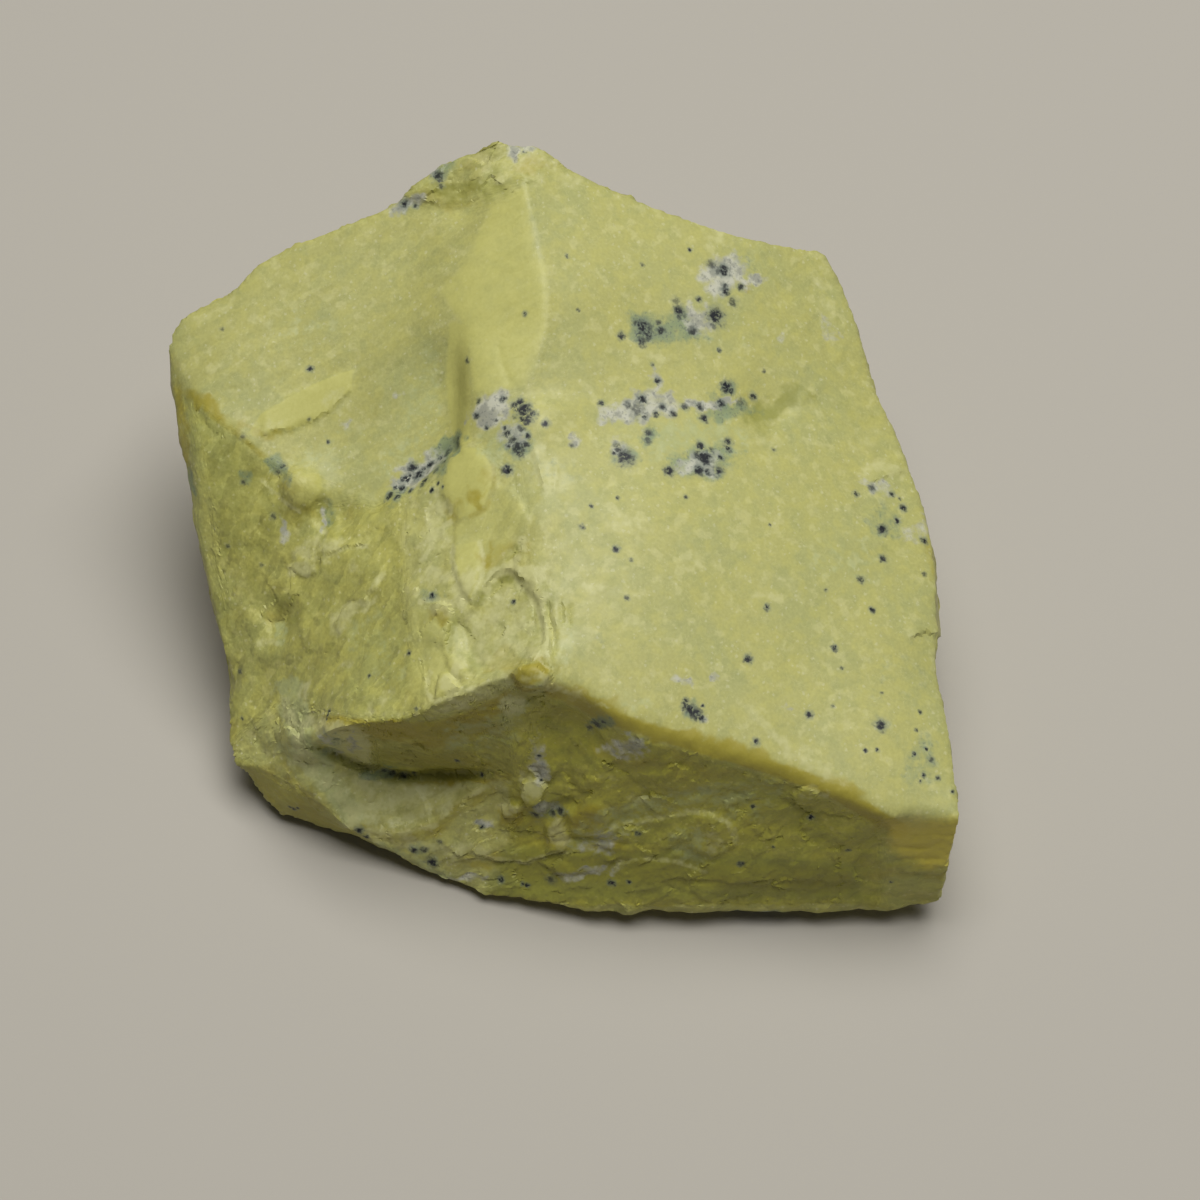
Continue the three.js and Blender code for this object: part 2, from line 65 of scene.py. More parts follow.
print("solid model, mm:", [round((high - low) / MM, 2) for low, high in zip(*cad_box)])

# %% [markdown]
# ## The camera
#
# A small stone is looked at with a long lens from a short way off, here down a slope of about 60
# degrees. The camera could come last, but it comes first, because the small marks on the stone are
# placed along sight lines: a sight line starts at the lens and goes through one point of the
# square frame. Places across and down the frame are counted in 1200 small squares each way, from
# its top left corner.

# %% Camera
FRAME = 1200                 # width and height of the frame, in its own small squares
FOCAL = 3773                 # focal length, in the same squares
SENSOR = 36.0                # width of the sensor, in mm
EYE = Vector((-4.18, -76.515, 137.8)) * MM
PITCH, YAW, ROLL = radians(60.31), radians(-4.51), radians(3.92)

camera_axes = (
    Matrix.Rotation(YAW, 3, "Z")
    @ Matrix.Rotation(radians(90) - PITCH, 3, "X")
    @ Matrix.Rotation(ROLL, 3, "Z")
)
camera = bpy.data.objects.new("camera", bpy.data.cameras.new("camera"))
camera.data.sensor_width = SENSOR
camera.data.lens = FOCAL / FRAME * SENSOR
camera.data.clip_start = 10 * MM
camera.matrix_world = Matrix.Translation(EYE) @ camera_axes.to_4x4()
bpy.context.scene.collection.objects.link(camera)
bpy.context.scene.camera = camera
print("lens:", round(camera.data.lens, 1), "mm")


def sight_line(x, y):
    """The direction from the lens through a point of the frame."""
    return (camera_axes @ Vector((x - FRAME / 2, FRAME / 2 - y, -FOCAL))).normalized()


def in_frame(points):
    """Where points fall in the frame: across, down, and mm of surface for one small square."""
    local = (points - np.array(EYE)) @ np.array(camera_axes)
    depth = -local[:, 2]
    across = FRAME / 2 + FOCAL * local[:, 0] / depth
    down = FRAME / 2 - FOCAL * local[:, 1] / depth
    return across, down, depth / FOCAL / MM


# %% [markdown]
# ## The rock's surface
#
# Rock breaks along curved faces that meet in crisp edges. The solid model has both, in facets of
# about 0.8 mm. Sculpting would bring out the rest by hand, but a rule can be changed and run
# again. A Subdivision Surface makes the faces smooth, and edge creases keep the edges crisp. After
# that, long edges are split again and again, down to a seventh of a millimetre where the break is
# rough and can be seen well, so that the triangles go where detail needs them.

# %% Smooth faces and crisp edges
CREASE_FROM = radians(16)    # an edge with less turn than this is smoothed away
CREASE_FULL = radians(38)    # an edge with more turn than this stays crisp
CREASE_MOST = 0.9            # a crease of 1 would leave it knife sharp
MERGE = 0.001 * MM           # corners closer than this become one point


def smooth_copy(node):
    """A subdivided copy of a node's mesh, with its sharp edges creased."""
    shell = bmesh.new()
    shell.from_mesh(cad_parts[node].data)
    bmesh.ops.remove_doubles(shell, verts=shell.verts, dist=MERGE)
    crease = shell.edges.layers.float.new("crease_edge")
    for edge in shell.edges:
        sharpness = (edge.calc_face_angle(0.0) - CREASE_FROM) / (CREASE_FULL - CREASE_FROM)
        edge[crease] = min(max(sharpness, 0.0), CREASE_MOST)
    mesh = bpy.data.meshes.new("smooth copy")
    shell.to_mesh(mesh)
    shell.free()
    piece = bpy.data.objects.new("smooth copy", mesh)
    bpy.context.scene.collection.objects.link(piece)
    subdivision = piece.modifiers.new("smooth", "SUBSURF")
    subdivision.levels = subdivision.render_levels = 1
    view = bpy.context.evaluated_depsgraph_get()
    smooth = bpy.data.meshes.new_from_object(piece.evaluated_get(view))
    bpy.data.objects.remove(piece)
    return smooth


# %% Points and triangles as arrays
def as_arrays(mesh):
    """Points and triangles of a mesh as arrays."""
    mesh.calc_loop_triangles()
    points = np.empty(len(mesh.vertices) * 3)
    mesh.vertices.foreach_get("co", points)
    triangles = np.empty(len(mesh.loop_triangles) * 3, dtype=np.int32)
    mesh.loop_triangles.foreach_get("vertices", triangles)
    return points.reshape(-1, 3), triangles.reshape(-1, 3)


def normals_of(points, triangles):
    """The outward direction at each point: the mean of its triangles' directions."""
    corner = points[triangles]
    across = np.cross(corner[:, 1] - corner[:, 0], corner[:, 2] - corner[:, 0])
    total = np.zeros_like(points)
    for side in range(3):
        np.add.at(total, triangles[:, side], across)
    return total / (np.linalg.norm(total, axis=1, keepdims=True) + 1e-20)


points, triangles = as_arrays(smooth_copy("serpentine_rock"))
print("smooth copy:", len(points), "points,", len(triangles), "triangles")

# %% [markdown]
# ## Zones
#
# The waxy mass broke smooth, and the veins and old joints broke rough. Vertex groups painted by
# hand could tell the faces apart. Here each zone is an outline in the frame with the strengths of
# its relief, which reads as a map of the stone. What lies outside every zone, such as the back and
# the underside, is moderately rough. A streak runs at an angle in the frame, measured
# anticlockwise from its right side.

# %% Zones of the surface
Zone = namedtuple("Zone", "chips flakes grain streaks splinters olive angle edge outline")
STRENGTHS = Zone._fields[:6]
RELIEF_STRENGTHS = 4         # the first of them shape the surface, the others only its finish

# The angle is that of the streaks, in degrees, and the edge is the triangles' size in mm.
# The olive strength is painted shade: it gives the front faces a darker, more yellow colour.
ZONES = {
    "upper left face": (0.02, 0.06, 0.25, 0.1, 0.22, 0.0, 28, 0.2, [
        (160, 300), (240, 265), (400, 200), (445, 205), (490, 195), (525, 180), (545, 250),
        (548, 345), (540, 390), (480, 400), (465, 440), (400, 490), (375, 505), (320, 500),
        (284, 468), (243, 436), (187, 393)]),
    "upper right face": (0.02, 0.06, 0.25, 0.05, 0.12, 0.0, 40, 0.2, [
        (525, 180), (575, 165), (780, 235), (850, 250), (960, 560), (975, 810), (905, 835),
        (828, 794), (722, 758), (608, 726), (560, 698), (545, 600), (530, 540), (520, 470),
        (470, 440), (462, 400), (540, 390), (548, 300)]),
    "upper right corner": (0.2, 0.4, 0.4, 0.0, 0.4, 0.0, 40, 0.14, [
        (735, 235), (780, 235), (850, 250), (872, 330), (850, 375), (800, 345), (762, 290)]),
    "right rim": (0.15, 0.4, 0.4, 0.1, 0.4, 0.0, 10, 0.14, [
        (838, 445), (905, 420), (932, 520), (945, 575), (880, 560), (845, 505)]),
    "summit knob": (0.4, 0.6, 0.5, 0.1, 0.5, 0.1, 20, 0.12, [
        (395, 205), (440, 150), (500, 120), (560, 130), (590, 180), (525, 185), (490, 205),
        (430, 215)]),
    "crumbly patch": (0.2, 0.6, 0.35, 0.1, 0.35, 0.0, 65, 0.11, [
        (400, 500), (455, 440), (530, 440), (560, 540), (570, 690), (430, 720), (405, 600)]),
    "left side": (0.2, 0.15, 0.3, 0.3, 0.5, 0.2, 97, 0.17, [
        (160, 340), (187, 393), (215, 540), (225, 640), (150, 640)]),
    "left front face": (0.26, 0.36, 0.4, 0.8, 0.6, 0.4, 62, 0.12, [
        (187, 393), (243, 436), (284, 465), (375, 505), (400, 500), (405, 600), (430, 700),
        (500, 690), (368, 722), (280, 700), (225, 750), (200, 560)]),
    "left end of the ledge": (0.35, 0.9, 0.7, 0.7, 0.9, 0.2, 20, 0.12, [
        (280, 705), (368, 718), (375, 775), (310, 748)]),
    "ledge face": (0.35, 0.8, 0.7, 0.9, 0.8, 0.9, -14, 0.12, [
        (368, 722), (420, 715), (505, 690), (540, 700), (520, 775), (400, 778), (375, 775)]),
    "lower lump": (0.45, 0.8, 0.6, 0.3, 0.8, 0.1, 25, 0.13, [
        (225, 750), (280, 700), (310, 748), (400, 778), (500, 775), (520, 880), (440, 900),
        (356, 835), (272, 770)]),
    "chamfer": (0.15, 0.35, 0.35, 0.5, 0.5, 0.45, -30, 0.13, [
        (225, 755), (250, 765), (272, 775), (298, 795), (320, 812), (356, 835), (391, 853),
        (440, 880), (440, 900), (225, 900)]),
    "right end of the front": (0.2, 0.5, 0.4, 0.2, 0.5, 0.55, 5, 0.14, [
        (880, 818), (905, 826), (968, 820), (968, 900), (880, 900)]),
    "front face": (0.45, 0.75, 0.4, 0.0, 0.6, 1.0, 40, 0.12, [
        (505, 690), (560, 700), (608, 728), (660, 746), (722, 760), (775, 776), (828, 796), (885, 825),
        (885, 900), (500, 900), (520, 775)]),
}
ZONES = {name: Zone(*values) for name, values in ZONES.items()}
HIDDEN = Zone(0.7, 0.7, 0.5, 0.3, 0.7, 0.4, 0, 0.33, outline=None)
print("zones:", len(ZONES))


# %% Distances in the frame
def gap_to_line(x, y, line):
    """Gap from points of the frame to a line of the frame, its side and the place along it."""
    gap = np.full(len(x), np.inf)
    side, along = np.zeros(len(x)), np.zeros(len(x))
    steps = [np.hypot(bx - ax, by - ay) for (ax, ay), (bx, by) in zip(line[:-1], line[1:])]
    start = 0.0
    for (ax, ay), (bx, by), step in zip(line[:-1], line[1:], steps):
        dx, dy = bx - ax, by - ay
        share = np.clip(((x - ax) * dx + (y - ay) * dy) / (step * step), 0, 1)
        here = np.hypot(x - ax - share * dx, y - ay - share * dy)
        nearer = here < gap
        gap[nearer] = here[nearer]
        side[nearer] = np.sign(dy * (x - ax) - dx * (y - ay))[nearer]
        along[nearer] = (start + share * step)[nearer] / sum(steps)
        start += step
    return gap, side, along


def depth_inside(x, y, outline):
    """How far points of the frame lie inside a closed outline: negative outside it."""
    closed = list(outline) + [outline[0]]
    gap = gap_to_line(x, y, closed)[0]
    within = np.zeros(len(x), dtype=bool)
    for (ax, ay), (bx, by) in zip(closed[:-1], closed[1:]):
        if ay != by:
            crossing = ax + (y - ay) * (bx - ax) / (by - ay)
            within ^= ((ay > y) != (by > y)) & (x < crossing)
    return np.where(within, gap, -gap)


trial = gap_to_line(np.array([5.0]), np.array([3.0]), [(0, 0), (10, 0)])
print("gap, side and place of a trial point:", [float(value[0]) for value in trial])


# %% Soft changes
def ramp(value):
    """0 below 0, 1 above 1, and a soft curve between."""
    value = np.clip(value, 0, 1)
    return value * value * (3 - 2 * value)


def inside(x, y, scale, outline, edge):
    """1 inside an outline and 0 outside it, with an edge of a width in mm between them."""
    return ramp(0.5 + depth_inside(x, y, outline) * scale / edge)


def beside(x, y, scale, line, width):
    """1 on a line, a half at a width in mm from it, and 0 from one and a half widths on."""
    return ramp(1.5 - gap_to_line(x, y, line)[0] * scale / width)


def wandering(points, size, seed):
    """A smooth random number from -1 to 1 for each point, with bends of a size in mm."""
    shift = Vector((seed, seed * 2, seed * 3))
    return np.array([noise.noise(Vector(p) / (size * MM) + shift) for p in points])


print("a quarter of the way, a soft change is at", float(ramp(0.25)))


# %% How much each point belongs to each zone
BLEND = 0.5                  # width of the change from one zone to the next, in mm
GRAZING = 0.15               # a surface that the lens sees flatter than this fades to hidden
HIDDEN_WEIGHT = 1e-3         # so little that the hidden zone counts only where no other does
BORDER_BEND = 1.2            # size of one bend of a zone's border, in mm
BORDER_SEEDS = (13, 17)


def zone_weights(points, normals, wobble=0.0):
    """How much each point belongs to each zone, with the hidden surface as the last one."""
    x, y, scale = in_frame(points)
    if wobble:
        x = x + wobble * wandering(points, BORDER_BEND, BORDER_SEEDS[0])
        y = y + wobble * wandering(points, BORDER_BEND, BORDER_SEEDS[1])
    to_eye = np.array(EYE) - points
    to_eye /= np.linalg.norm(to_eye, axis=1, keepdims=True)
    facing = ramp(np.einsum("ij,ij->i", normals, to_eye) / GRAZING)
    weights = [inside(x, y, scale, zone.outline, BLEND) * facing for zone in ZONES.values()]
    weights.append(np.full(len(points), HIDDEN_WEIGHT))
    return np.array(weights) / np.sum(weights, axis=0)


in_no_zone = zone_weights(points, normals_of(points, triangles))[-1] > 0.5
print("points in no zone:", int(in_no_zone.sum()), "of", len(points))


# %% [markdown]
# ## Steps, plates and cracks
#
# A fresh break is full of small steps where one thin shell of rock ends and the next begins.
# They could be cut into the mesh, with much work on its edges. Here each is drawn as a line in the
# frame and laid on the surface. The rock stands highest beside the line and falls off away from
# it, so that every step has one sharp side. A plate is an area that stands proud of the rest, or
# lies deeper than it, with an edge all round. A crack is a narrow groove, and a narrow ridge is a
# crack with a negative depth.

# %% Steps
# name: (height, reach, line) in mm; the high side is on the left, walking along the line
STEPS = {
    "front edge of the thin chip": (0.05, 1.6, [
        (246, 437), (268, 435), (291, 429), (311, 421), (331, 411), (340, 402), (350, 389),
        (354, 378), (353, 368)]),
    "faint step above the chip": (0.03, 0.8, [
        (199, 392), (231, 388), (258, 382), (276, 376), (305, 366)]),
    "crescent flake": (0.02, 0.8, [(284, 594), (296, 599), (303, 606), (306, 616)]),
    "arch over the dark lens": (0.1, 1.1, [
        (476, 604), (484, 588), (492, 578), (502, 570), (512, 571), (521, 579), (526, 592)]),
    "edge of the yellow plate": (0.07, 0.8, [(866, 487), (878, 481), (893, 475), (908, 470)]),
    "shell on the front face": (0.07, 1.2, [
        (737, 842), (729, 823), (711, 812), (686, 812), (650, 819), (615, 827), (588, 835)]),
    "lower shell on the front face": (0.06, 0.9, [
        (705, 872), (680, 862), (650, 858), (622, 862), (600, 870)]),
    "low ledge": (0.1, 0.8, [(440, 866), (480, 858), (525, 862), (560, 852), (600, 849)]),
    "second low ledge": (0.08, 0.7, [(640, 884), (690, 878), (740, 882), (800, 878), (850, 884)]),
    "right low ledge": (0.08, 0.7, [(896, 874), (915, 870), (938, 874), (955, 868)]),
    "upper edge of the left front plate": (0.08, 0.8, [(322, 560), (345, 548), (372, 546)]),
    "corner of the pale block": (0.14, 0.9, [
        (446, 652), (447, 638), (450, 626), (452, 614), (451, 605), (438, 602), (426, 603)]),
    "scallop on the front face": (0.08, 0.6, [(606, 786), (598, 776), (586, 774), (580, 784)]),
    "second scallop": (0.08, 0.6, [(650, 838), (642, 828), (628, 826), (616, 836)]),
    "pale flakes low on the front": (0.07, 0.5, [(692, 858), (684, 852), (672, 852), (664, 860)]),
    "flake on the right rim": (0.12, 0.7, [(905, 640), (925, 634), (946, 640), (958, 650)]),
}
print("steps:", len(STEPS))

# %% Plates
# name: (height, width of the edge, outline) in mm
PLATES = {
    "chisel facet": (0.04, 0.9, [
        (526, 183), (508, 194), (490, 205), (480, 227), (470, 252), (457, 270), (440, 292),
        (452, 312), (466, 330), (470, 395), (490, 392), (512, 391), (527, 387), (537, 360),
        (547, 332), (549, 295), (546, 265), (535, 245), (530, 207)]),
    "thin chip": (0.06, 0.16, [
        (262, 413), (274, 404), (291, 396), (303, 390), (323, 380), (337, 373), (354, 369),
        (355, 378), (351, 389), (341, 402), (332, 412), (311, 422), (291, 430), (262, 436)]),
    "nugget": (0.14, 0.7, [
        (463, 447), (475, 448), (486, 457), (492, 468), (492, 484), (484, 506), (471, 515),
        (459, 519), (450, 508), (444, 495), (443, 479), (448, 464)]),
    "long lens": (0.09, 0.22, [
        (455, 522), (476, 504), (496, 484), (512, 490), (524, 505), (530, 522), (518, 545),
        (502, 560), (486, 578), (472, 603), (461, 590), (452, 562)]),
    "yellow tongue": (0.04, 0.4, [
        (452, 545), (478, 541), (482, 560), (479, 580), (470, 602), (462, 590), (454, 572)]),
    "pale lens chip": (0.09, 0.25, [
        (445, 652), (452, 654), (462, 664), (470, 679), (458, 677), (447, 666)]),
    "triangular chip": (0.13, 0.14, [
        (441, 673), (447, 674), (455, 682), (463, 688), (450, 693), (436, 699), (437, 685)]),
    "hollow of the dark lens": (-0.2, 0.45, [
        (480, 600), (497, 578), (513, 573), (525, 587), (538, 604), (545, 635), (545, 668),
        (520, 662), (480, 672), (462, 650), (458, 625)]),
    "dark channel": (-0.06, 0.5, [
        (453, 606), (461, 612), (471, 630), (481, 655), (482, 677), (471, 680), (458, 660),
        (450, 635)]),
    "small knob": (0.26, 0.35, [
        (511, 674), (522, 665), (538, 664), (549, 674), (544, 686), (524, 686)]),
    "angular patch": (0.08, 0.14, [(289, 567), (300, 560), (312, 561), (317, 572), (303, 577)]),
    "diagonal plate": (0.1, 0.14, [
        (333, 624), (345, 610), (367, 595), (369, 601), (352, 619), (340, 634)]),
    "upper diagonal plate": (0.08, 0.14, [
        (347, 601), (362, 588), (379, 577), (381, 584), (366, 601)]),
    "low dent": (-0.06, 0.8, [(264, 606), (275, 601), (287, 608), (284, 621), (271, 625)]),
    "pit under the rim": (-0.08, 0.3, [
        (315, 501), (327, 498), (331, 518), (324, 537), (314, 520)]),
    "rim lump": (0.1, 0.5, [
        (283, 480), (296, 472), (318, 474), (322, 490), (312, 506), (288, 504)]),
    "second rim lump": (0.06, 0.45, [
        (344, 501), (360, 494), (377, 500), (375, 524), (358, 539), (346, 528)]),
    "olive dent": (-0.06, 0.5, [
        (752, 404), (775, 397), (793, 404), (790, 421), (770, 429), (754, 423)]),
    "yellow lump": (0.24, 0.16, [
        (523, 781), (536, 776), (547, 786), (543, 801), (530, 803), (522, 795)]),
    "small yellow lump": (0.18, 0.16, [
        (503, 807), (512, 800), (523, 803), (520, 814), (507, 814)]),
    "lower yellow lump": (0.18, 0.25, [
        (546, 824), (560, 819), (570, 832), (566, 850), (548, 850)]),
    "brown lump": (0.2, 0.4, [
        (570, 812), (588, 802), (604, 806), (611, 820), (604, 836), (584, 840), (570, 830)]),
    "long brown lump": (0.14, 0.35, [
        (500, 812), (512, 800), (526, 806), (528, 826), (512, 838), (501, 828)]),
    "gap between the lumps": (-0.14, 0.35, [
        (548, 806), (566, 800), (580, 790), (592, 790), (580, 802), (566, 812), (550, 816)]),
    "upper front lump": (0.12, 0.5, [
        (572, 762), (590, 752), (606, 760), (604, 782), (586, 792), (572, 780)]),
    "right upper front lump": (0.1, 0.6, [
        (640, 772), (664, 764), (684, 772), (680, 790), (654, 796)]),
    "white lump": (0.14, 0.2, [(538, 764), (548, 760), (557, 768), (552, 782), (541, 782)]),
    "front shell": (0.1, 0.25, [
        (690, 822), (704, 812), (722, 814), (736, 828), (735, 845), (714, 858), (692, 848)]),
    "right front plate": (0.12, 0.12, [
        (791, 793), (806, 787), (819, 792), (815, 804), (797, 806)]),
    "pale low plate": (0.12, 0.2, [
        (542, 863), (560, 853), (600, 850), (615, 858), (600, 871), (560, 873)]),
}
print("plates:", len(PLATES))

# %% Cracks and narrow ridges
# name: (depth, width, line) in mm
CRACKS = {
    "vein groove": (0.14, 0.45, [(395, 497), (412, 480), (430, 462), (445, 452), (461, 440)]),
    "fibrous crack": (0.2, 0.2, [(544, 598), (549, 612), (552, 630), (554, 657)]),
    "left fibre": (0.1, 0.12, [(560, 600), (563, 612), (565, 626)]),
    "right fibre": (0.08, 0.12, [(571, 602), (571, 614), (569, 628)]),
    "upper streak": (-0.08, 0.2, [(532, 442), (537, 458), (542, 478), (546, 494)]),
    "right streak": (-0.06, 0.16, [(557, 460), (556, 478), (554, 496)]),
    "faint crest": (-0.05, 0.3, [(746, 705), (770, 729), (800, 757), (828, 778)]),
    "rim line": (0.06, 0.12, [(924, 541), (931, 550), (937, 562)]),
    "crack under the ledge": (0.26, 0.3, [
        (305, 744), (335, 757), (366, 769), (396, 778), (443, 776), (470, 775), (490, 774)]),
    "right end line": (0.06, 0.14, [(860, 851), (890, 846), (920, 849), (950, 840)]),
    "second right end line": (0.05, 0.12, [(880, 862), (910, 860), (948, 858)]),
    "front left line": (0.06, 0.14, [(505, 852), (540, 840), (585, 838), (640, 846)]),
    "dent ridge": (-0.03, 0.25, [(797, 403), (812, 392), (829, 381)]),
    "facet inner line": (0.03, 0.16, [(500, 338), (502, 360), (510, 388)]),
}

# %% [markdown]
# ## Triangles where detail needs them
#
# Subdividing the whole stone twice more would give nearly 600,000 triangles, most of them on faces
# that are smooth anyway or on the hidden side. So only the edges that are too long for their place
# are split, and the wanted length comes from the zones and from how near the small forms are.

# %% Wanted length of the edges
SPLIT_ROUNDS = 5
SPLIT_ABOVE = 1.45           # an edge is split where it is this many times its wanted length
FINEST = 0.11                # wanted edge of the triangles beside a small form, in mm
GROWTH = 0.4                 # how much longer an edge may be for each mm away from the form
FORM_LINES = ([line for *_, line in STEPS.values()] + [line for *_, line in CRACKS.values()]
              + [outline + outline[:1] for *_, outline in PLATES.values()])


def wanted_edges(points, normals):
    """The longest edge that the surface may have at each point."""
    longest = np.array([zone.edge for zone in ZONES.values()] + [HIDDEN.edge])
    wanted = longest @ zone_weights(points, normals)
    x, y, scale = in_frame(points)
    for line in FORM_LINES:
        wanted = np.minimum(wanted, FINEST + GROWTH * gap_to_line(x, y, line)[0] * scale)
    facing = np.einsum("ij,ij->i", normals, np.array(EYE) - points) > 0
    return np.where(facing, wanted, HIDDEN.edge) * MM


print("lines of small forms:", len(FORM_LINES))


# %% Split the long edges
def split_long_edges(points, triangles, wanted):
    """Splits every edge longer than wanted at its middle, and every triangle to match."""
    pairs = np.sort(triangles[:, [0, 1, 1, 2, 2, 0]].reshape(-1, 2), axis=1)
    edges, number = np.unique(pairs, axis=0, return_inverse=True)
    number = number.reshape(-1, 3)
    ends = points[edges]
    long = np.linalg.norm(ends[:, 0] - ends[:, 1], axis=1) > wanted[edges].mean(axis=1)
    middle = np.full(len(edges), -1)
    middle[long] = len(points) + np.arange(long.sum())
    points = np.vstack([points, ends[long].mean(axis=1)])
    mid = middle[number]
    cuts = (mid >= 0).sum(axis=1)
    pieces = [triangles[cuts == 0]]
    whole, m = triangles[cuts == 3], mid[cuts == 3]
    pieces += [m, np.stack([whole[:, 0], m[:, 0], m[:, 2]], 1),
               np.stack([m[:, 0], whole[:, 1], m[:, 1]], 1),
               np.stack([m[:, 2], m[:, 1], whole[:, 2]], 1)]
    for turn in range(3):
        order = [turn, (turn + 1) % 3, (turn + 2) % 3]
        pick = (cuts == 1) & (mid[:, turn] >= 0)
        a, b, c = triangles[pick][:, order].T
        m = mid[pick, turn]
        pieces += [np.stack([a, m, c], 1), np.stack([m, b, c], 1)]
        pick = (cuts == 2) & (mid[:, order[2]] < 0)
        a, b, c = triangles[pick][:, order].T
        m, n = mid[pick][:, order[:2]].T
        short = (np.linalg.norm(points[a] - points[n], axis=1)
                 < np.linalg.norm(points[m] - points[c], axis=1))
        pieces += [np.stack([m, b, n], 1),
                   np.stack([a, m, n], 1)[short], np.stack([a, n, c], 1)[short],
                   np.stack([a, m, c], 1)[~short], np.stack([m, n, c], 1)[~short]]
    return points, np.vstack(pieces).astype(np.int32)


for _ in range(SPLIT_ROUNDS):
    wanted = wanted_edges(points, normals_of(points, triangles)) * SPLIT_ABOVE
    points, triangles = split_long_edges(points, triangles, wanted)
print("fine mesh:", len(points), "points,", len(triangles), "triangles")

# %% [markdown]
# ## Edges a little worn
#
# No edge of the real stone is knife sharp. A Bevel would round them all alike, and on split
# triangles it leaves a mess. Moving each point again and again toward the middle of its neighbours
# rounds them too, and more rounds give a rounder edge: two are enough for the whole stone, and the
# table holds the edges that look softer than the rest.

# %% Rounds for the softer edges
ROUNDS = 2                   # for the whole surface
EASE = 0.6                   # how far a point moves toward its neighbours' middle in one round
# name: (rounds, reach in mm, line)
WORN = {
    "front edge": (9, 0.5, [
        (548, 680), (560, 687), (608, 712), (660, 727), (722, 744), (775, 762), (828, 779),
        (870, 805), (900, 822), (940, 822)]),
    "left edge of the chisel facet": (36, 0.8, [
        (454, 300), (458, 318), (462, 345), (464, 395), (462, 436)]),
}


# %% Round the edges
def soften(points, triangles, share):
    """Moves each point toward the mean of its neighbours by its share."""
    total = np.zeros_like(points)
    count = np.zeros(len(points))
    for corner in range(3):
        start, end = triangles[:, corner], triangles[:, (corner + 1) % 3]
        np.add.at(total, start, points[end])
        np.add.at(count, start, 1)
    return points + share[:, None] * (total / count[:, None] - points)


sharp_points = points
x, y, scale = in_frame(points)
for turn in range(ROUNDS):
    points = soften(points, triangles, np.full(len(points), EASE))
for rounds, reach, line in WORN.values():
    share = EASE * beside(x, y, scale, line, reach)
    for turn in range(rounds):
        points = soften(points, triangles, share)
normals = normals_of(points, triangles)
most = np.linalg.norm(points - sharp_points, axis=1).max() / MM
print("rounding moved a point by", round(most, 2), "mm at most")

# %% [markdown]
# ## What the lens sees
#
# A line drawn in the frame crosses the front of the stone and, seen through it, its back as well.
# To mark only the front, a ray goes from each point to the lens, and the point counts as seen when
# nothing is in the way. A BVH tree holds the triangles so that each ray finds them quickly.

# %% Which points the camera sees
tree = BVHTree.FromPolygons(points.tolist(), triangles.tolist())
LIFT = 0.02 * MM             # start a little off the surface


def seen_by_camera(points, normals):
    """True for the points with a clear line to the lens."""
    seen = np.einsum("ij,ij->i", normals, np.array(EYE) - points) > 0
    for i in np.flatnonzero(seen):
        start = Vector(points[i] + normals[i] * LIFT)
        seen[i] = tree.ray_cast(start, (EYE - start).normalized())[0] is None
    return seen


seen = seen_by_camera(points, normals)
print("seen by the camera:", seen.sum(), "of", len(points), "points")


def landing(x, y):
    """Where the sight line through a point of the frame meets the stone."""
    return tree.ray_cast(EYE, sight_line(x, y))[0]


# %% [markdown]
# ## The small forms on the surface
#
# Steps, plates and cracks rise or sink less than a third of a millimetre. A Boolean for each of
# them would cut clean shapes with machine-like borders. Here every point that the lens sees adds
# up what the tables say about its place, and moves along its own normal. A little noise in its
# place makes the lines of the tables wander, as broken edges do.

# %% Steps, plates and cracks on the surface
WOBBLE = 2.2                 # how far the forms' lines wander, in squares of the frame
WOBBLE_SIZE = 0.7            # the size of one bend of them, in mm
WOBBLE_SEEDS = (3, 5)
EDGE = 0.13                  # width of a step's sharp side, in mm
UNDERCUT = 0.15              # how far the low side of a step sinks, against its height
LOW_REACH = 0.5              # how far that side reaches, against the high side
STEP_ENDS = 0.2              # share of a step's line over which each end fades
CRACK_ENDS = 0.15            # the same for a crack
CRACK_WALL = 1.6             # steepness of a crack's walls


def faded_ends(along, share):
    """1 along a line, going down to 0 at both its ends."""
    return ramp(along / share) * ramp((1 - along) / share)


def form_height(points):
    """How far each seen point moves out or in, in mm."""
    x, y, scale = in_frame(points)
    x = x + WOBBLE * wandering(points, WOBBLE_SIZE, WOBBLE_SEEDS[0])
    y = y + WOBBLE * wandering(points, WOBBLE_SIZE, WOBBLE_SEEDS[1])
    height = np.zeros(len(points))
    for rise, reach, line in STEPS.values():
        gap, side, along = gap_to_line(x, y, line)
        gap = gap * scale
        high = ramp(0.5 + gap / EDGE) * np.exp(-(gap / reach) ** 2)
        low = -UNDERCUT * ramp(gap / EDGE) * np.exp(-(gap / (LOW_REACH * reach)) ** 2)
        height += rise * faded_ends(along, STEP_ENDS) * np.where(side > 0, high, low)
    for rise, edge, outline in PLATES.values():
        height += rise * inside(x, y, scale, outline, edge)
    for depth, width, line in CRACKS.values():
        gap, _, along = gap_to_line(x, y, line)
        groove = np.exp(-(gap * scale / width * CRACK_WALL) ** 2)
        height -= depth * faded_ends(along, CRACK_ENDS) * groove
    return height


height = np.zeros(len(points))
height[seen] = form_height(points[seen])
print("small forms, mm:", round(height.min(), 2), "to", round(height.max(), 2))
points = points + normals * (height * MM)[:, None]

